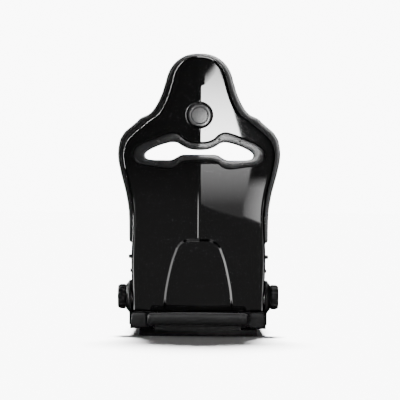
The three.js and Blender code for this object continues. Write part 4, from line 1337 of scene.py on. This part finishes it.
def makeRoll():
    # rings along x, closer together in the last stretch at both ends
    length, end = 2 * roll["half"], 60
    steps = np.concatenate([
        np.linspace(0, end, 50, endpoint=False),
        np.linspace(end, length - end, 90, endpoint=False),
        np.linspace(length - end, length, 51),
    ]) - roll["half"]
    angle = np.linspace(0, 2 * math.pi, 72, endpoint=False)
    x, a = np.meshgrid(steps, angle, indexing="ij")
    points = rollPoint(x, a)
    points[0] = points[0].mean(0)
    points[-1] = points[-1].mean(0)
    faces = quads(len(steps), len(angle), wrapColumns=True)
    return meshFrom("rearRoll", points.reshape(-1, 3), faces, sharp=0)


rearRoll = place(makeRoll(), "base", "leather", "rear_roll")
pipeX = np.linspace(-roll["half"] + 6, roll["half"] - 6, 120)
pipeAngle = np.full_like(pipeX, roll["pipeAngle"])
pipeLine = rollPoint(pipeX, pipeAngle, 0.6)
# the roll's piping wears the lightened piping look: painted highlight along the roll's top
place(meshFrom("rollPiping", *tube(pipeLine, 1.9, 10), sharp=0), "base", "leather", material="piping")
seamLine = rollPoint(pipeX, pipeAngle - roll["seamAngle"], 0.0)
seamNormal = np.stack([0 * pipeX, np.cos(pipeAngle), np.sin(pipeAngle)], 1)
rollStitches = meshFrom("rollStitches", *stitches(seamLine, seamNormal), sharp=0)
place(rollStitches, "base", "leather", material="thread")
print("roll made")


# CAD pieces with hard edges
def bevelledCopy(node, name, width, segments=2):
    # a merged copy with small bevels
    obj = mergedCopy(node, name, flatAngle=0.8)
    if width:
        bevelled(obj, width, segments, 35)
    shade(obj.data, 32)
    return obj


hardPairs = [
    ("base_rail", "baseRail", "base", "frame_black", 1.6),
    ("recliner_arm", "reclinerArm", "base", "frame_black", 0.7),
    ("recliner_plate", "reclinerPlate", "backrest", "frame_black", 0.7),
    ("recliner_inner_disc", "innerDisc", "backrest", "bright_steel", 1.0),
    ("recliner_outer_disc", "outerDisc", "base", "bright_steel", 1.0),
    ("arm_bolt_front", "armBoltFront", "base", "screw_black", 0.5),
    ("arm_bolt_rear", "armBoltRear", "base", "screw_black", 0.5),
]
for node, name, body, slotName, width in hardPairs:
    placePair(bevelledCopy(node + "_left", name, width), name, body, slotName, node)
hardSingles = [
    ("rear_cross_bar", "rearCrossBar", "base", "frame_black", 2.6),
    ("front_cross_tube", "frontCrossTube", "base", "frame_black", 0.6),
    ("cross_shaft", "crossShaft", "recliner_drive", "bright_steel", 0.5),
    ("lower_cross_tube", "lowerCrossTube", "backrest", "frame_black", 0.5),
    ("upper_cross_tube", "upperCrossTube", "backrest", "frame_black", 0.5),
    ("backrest_hoop", "backrestHoop", "backrest", "frame_black", 0),
    ("webbing_strap_1", "webbingStrap1", "base", "webbing", 0.9),
    ("webbing_strap_2", "webbingStrap2", "base", "webbing", 0.9),
    ("webbing_strap_3", "webbingStrap3", "base", "webbing", 0.9),
    ("rear_flap", "rearFlap", "base", "leather", 4.0),
]
for node, name, body, slotName, width in hardSingles:
    place(bevelledCopy(node, name, width, 3), body, slotName, node)


gap = {"x": 184, "corner": 6}
gussetBlock = {"z": 44, "half": (47, 34, 12)}
skirtBlock = {"z": hingeZ - 43, "half": (46, 16, 22)}


def makeSoftBlock(name, centre, half, corner):
    # block of leather with rounded corners: centre +- half on each axis
    mesh = bpy.data.meshes.new(name)
    work = bmesh.new()
    bmesh.ops.create_cube(work, size=1.0)
    points = np.array([v.co[:] for v in work.verts]) * 2 * np.array(half) + np.array(centre)
    for v, point in zip(work.verts, points):
        v.co = point * 0.001
    work.to_mesh(mesh)
    work.free()
    obj = linked(name, mesh)
    bevelled(obj, corner, 5)
    shade(obj.data, 0)
    return obj


# a gusset closes each side joint of the cushion, a skirt hangs under the shell's lower edge
for side, end in ((1, "Left"), (-1, "Right")):
    for name, body, block in (("gusset", "base", gussetBlock), ("skirt", "backrest", skirtBlock)):
        centre = (side * gap["x"], hingeY, block["z"])
        piece = place(makeSoftBlock(name + end, centre, block["half"], gap["corner"]), body, "leather")
print("frame pieces made")


# studio
def card(name, corners, strength, fade=None):
    # a glowing polygon, corners in metres, seen only in reflections; fade (axis, from, to, low, high)
    # gives strength * (low to high) as the axis runs from one value to the other
    mesh = bpy.data.meshes.new(name)
    mesh.from_pydata(corners, [], [list(range(len(corners)))])
    axis, start, end, lowShare, highShare = fade or (2, 0, 1, 1, 1)
    layer = mesh.uv_layers.new(name="uv")
    along = (np.array(corners)[:, axis] - start) / (end - start)
    layer.data.foreach_set("uv", np.stack([along, along], 1).ravel())
    obj = linked(name, mesh)
    material = bpy.data.materials.new(name)
    material.use_nodes = True
    tree = material.node_tree
    tree.nodes.clear()
    out = tree.nodes.new("ShaderNodeOutputMaterial")
    glow = tree.nodes.new("ShaderNodeEmission")
    glow.inputs["Strength"].default_value = strength
    if fade:
        uv = tree.nodes.new("ShaderNodeUVMap")
        split = tree.nodes.new("ShaderNodeSeparateXYZ")
        ramp = tree.nodes.new("ShaderNodeMapRange")
        ramp.inputs[3].default_value, ramp.inputs[4].default_value = lowShare * strength, highShare * strength
        tree.links.new(uv.outputs[0], split.inputs[0])
        tree.links.new(split.outputs[0], ramp.inputs[0])
        tree.links.new(ramp.outputs[0], glow.inputs["Strength"])
    tree.links.new(glow.outputs[0], out.inputs[0])
    mesh.materials.append(material)
    obj.visible_camera = False
    obj.visible_diffuse = False
    obj.visible_shadow = False
    obj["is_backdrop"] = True
    return obj


def wall(y, *corners):
    # corners (x, z) on a plane across the room
    return [(x, y, z) for x, z in corners]


# the main reflection, with a soft upper border of strips, each weaker than the last
behind = 6.6
keyTop = [(-1.014, 2.39), (-0.986, 2.08), (-0.94, 1.84), (-0.89, 1.68)]
keyOutline = [(-0.68, -0.7), (-1.235, -0.7), (-1.175, -0.2), *keyTop, (-0.68, 1.6)]
card("keyCard", wall(behind, *keyOutline), 74, (2, 2.4, 0.0, 0.25, 1.0))
soft = {"strips": 5, "height": 0.09, "strength": 20}
for k in range(soft["strips"]):
    lower, upper = soft["height"] * k, soft["height"] * (k + 1)
    strip = [(x, z + lower) for x, z in keyTop] + [(x, z + upper) for x, z in keyTop[::-1]]
    card("keySoft", wall(behind, *strip), soft["strength"] * (1 - (k + 0.5) / soft["strips"]) ** 2)

# beside the badge, low on the shell, and its outer border
card("badgeCard", wall(behind, (-0.4, 0.1), (-0.4, 1.1), (0.035, 1.1), (0.035, 0.1)), 17,
     (0, 0.035, -0.1, 0.4, 1.0))
lowOutline = [(-0.72, -1.15), (-0.72, -2.66), (-0.96, -2.75), (-1.27, -2.86), (-1.27, -1.15)]
card("lowCard", wall(behind, *lowOutline), 4.8, (2, -2.8, -1.2, 0.15, 1.0))
edge = {
    "strips": 6,
    "top": -1.62,
    "height": 0.08,
    "foot": -2.84,
    "inner": -1.27,
    "outer": -1.5,
    "strength": 7.0,
}
for k in range(edge["strips"]):
    last = k == edge["strips"] - 1
    upper, share = edge["top"] - edge["height"] * k, (k + 0.7) / edge["strips"]
    lower = edge["foot"] if last else upper - edge["height"]
    strip = [(edge["inner"], upper), (edge["inner"], lower),
             (edge["outer"], lower - (0.1 if last else 0)), (edge["outer"], upper)]
    card("edgeCard", wall(behind, *strip), edge["strength"] * share, (0, -1.27, -1.39, 0.3, 1.0))

# the crease's glint, a faint haze over all, and the light that the floor throws back
card("creaseCard", wall(behind, (0.1, -2.2), (0.1, -3.02), (0.5, -3.02), (0.5, -2.2)), 9,
     (2, -2.2, -2.8, 0.0, 1.0))
card("hazeCard", wall(behind + 0.8, (-6, -9), (-6, 5), (6, 5), (6, -9)), 0.26,
     (2, -3.6, -1.2, 1.0, 0.3))
for side in (-1, 1):
    inner, outer = (side * 1.5, 2.45), (side * 2.6, 1.2)
    slope = [(*inner, -2.6), (*outer, -2.3), (*outer, -0.75), (*inner, -0.75)]
    card("slopeCard", slope, 6 + 1.5 * side)
for x0, x1 in ((-1.7, -0.27), (-0.02, 0.24)):
    card("underCard", [(x0, 0.55, -1.2), (x1, 0.55, -1.2), (x1, 1.1, -1.2), (x0, 1.1, -1.2)], 3.5)

# an arc beside the seat for the rolled edge: (x, z) = (r cos a, centre + r sin a)
rimArc = {"radius": 2.7, "z": 0.6, "near": -0.56, "far": -0.7, "strength": 90}
arc = np.radians(np.linspace(-14, 58, 13))
for one, two in zip(arc[:-1], arc[1:]):
    corners = ((one, rimArc["near"]), (two, rimArc["near"]), (two, rimArc["far"]), (one, rimArc["far"]))
    rim = [(rimArc["radius"] * math.cos(t), y, rimArc["z"] + rimArc["radius"] * math.sin(t))
           for t, y in corners]
    card("rimArc", rim, rimArc["strength"])

# boxes above and in front
card("topBox", [(-1.3, -0.25, 3.1), (0.2, -0.25, 3.1), (0.2, 0.4, 3.1), (-1.3, 0.4, 3.1)], 22)
card("frontBox", [(-1.7, -3.6, 0.3), (-1.7, -3.6, 2.4), (-0.3, -3.8, 2.4), (-0.3, -3.8, 0.3)], 6)
card("frontBox", [(1.9, -3.4, 0.3), (1.9, -3.4, 2.4), (0.9, -3.7, 2.4), (0.9, -3.7, 0.3)], 4)


def sun(name, strength, spread, source, receivers=None, glossy=False):
    # a soft light that comes from the direction source
    light = bpy.data.lights.new(name, "SUN")
    light.energy = strength
    light.angle = math.radians(spread)
    obj = linked(name, light)
    obj.rotation_euler = Vector(source).to_track_quat("Z", "Y").to_euler()
    obj.visible_glossy = glossy
    if receivers:
        obj.light_linking.receiver_collection = receivers
    return obj


floorMesh = bpy.data.meshes.new("floor")
floorMesh.from_pydata([(-60, -60, 0), (60, -60, 0), (60, 60, 0), (-60, 60, 0)], [], [(0, 1, 2, 3)])
floor = linked("floor", floorMesh)
paper = Nodes("paper")
floorMesh.materials.append(paper.finish(Base_Color=(0.9, 0.9, 0.9), Roughness=0.9, Specular_IOR_Level=0.0))
floor.visible_glossy = False
floor.visible_diffuse = False
floor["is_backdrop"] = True

# what each light reaches
bandNames = {
    "backrestCover", "coverPiping", "backrestBolsterLeft", "backrestBolsterRight",
    "shoulderWingLeft", "shoulderWingRight",
}
lowNames = {
    "thighRoll", "rearRoll", "rollPiping", "rearFlap", "cushionBolsterLeft", "cushionBolsterRight",
    "gussetLeft", "gussetRight", "skirtLeft", "skirtRight",
}


def reached(name, objs):
    # a collection that lights can be limited to
    group = bpy.data.collections.new(name)
    for obj in objs:
        group.objects.link(obj)
    return group


lit = reached("litFloor", [floor])
seat = reached("seatPieces", finished)
bands = reached("bandPieces", [obj for obj in finished if obj.name in bandNames])
lowLeather = reached("lowLeather", [obj for obj in finished if obj.name in lowNames])
sun("floorSun", 35, 22, (0, -0.44, 0.9), lit)
sun("floorFill", 0.4, 150, (0, 0.5, 0.85), lit)
sun("backFill", 1.2, 120, (0.2, 0.8, 0.6), seat)
sun("frontFill", 2.0, 120, (-0.2, -0.7, 0.7), seat)
sun("bandSun", 26.0, 40, (-0.95, 0.12, 0.3), bands, True)
sun("crownSun", 40.0, 40, (-0.35, -0.3, 0.88), bands, True)
sun("rollSun", 7.0, 40, (0.15, 0.35, 0.9), lowLeather, True)

world = bpy.data.worlds.new("studio")
bpy.context.scene.world = world
world.use_nodes = True
background = world.node_tree.nodes["Background"]
background.inputs["Color"].default_value = (1, 1, 1, 1)
background.inputs["Strength"].default_value = 9.5
world.cycles_visibility.glossy = False
world.cycles_visibility.diffuse = False

view = {"x": -0.004, "distance": 6.3, "height": 0.4647, "lens": 161.7, "roll": math.radians(0.4)}
camera = bpy.data.cameras.new("camera")
camera.sensor_width = 36
camera.lens = view["lens"]
cameraObj = linked("camera", camera)
bpy.context.scene.camera = cameraObj
turned = (Matrix.Rotation(math.pi, 4, "Z") @ Matrix.Rotation(math.pi / 2, 4, "X")
          @ Matrix.Rotation(view["roll"], 4, "Z"))
cameraObj.matrix_world = Matrix.Translation((view["x"], view["distance"], view["height"])) @ turned

low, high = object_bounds()
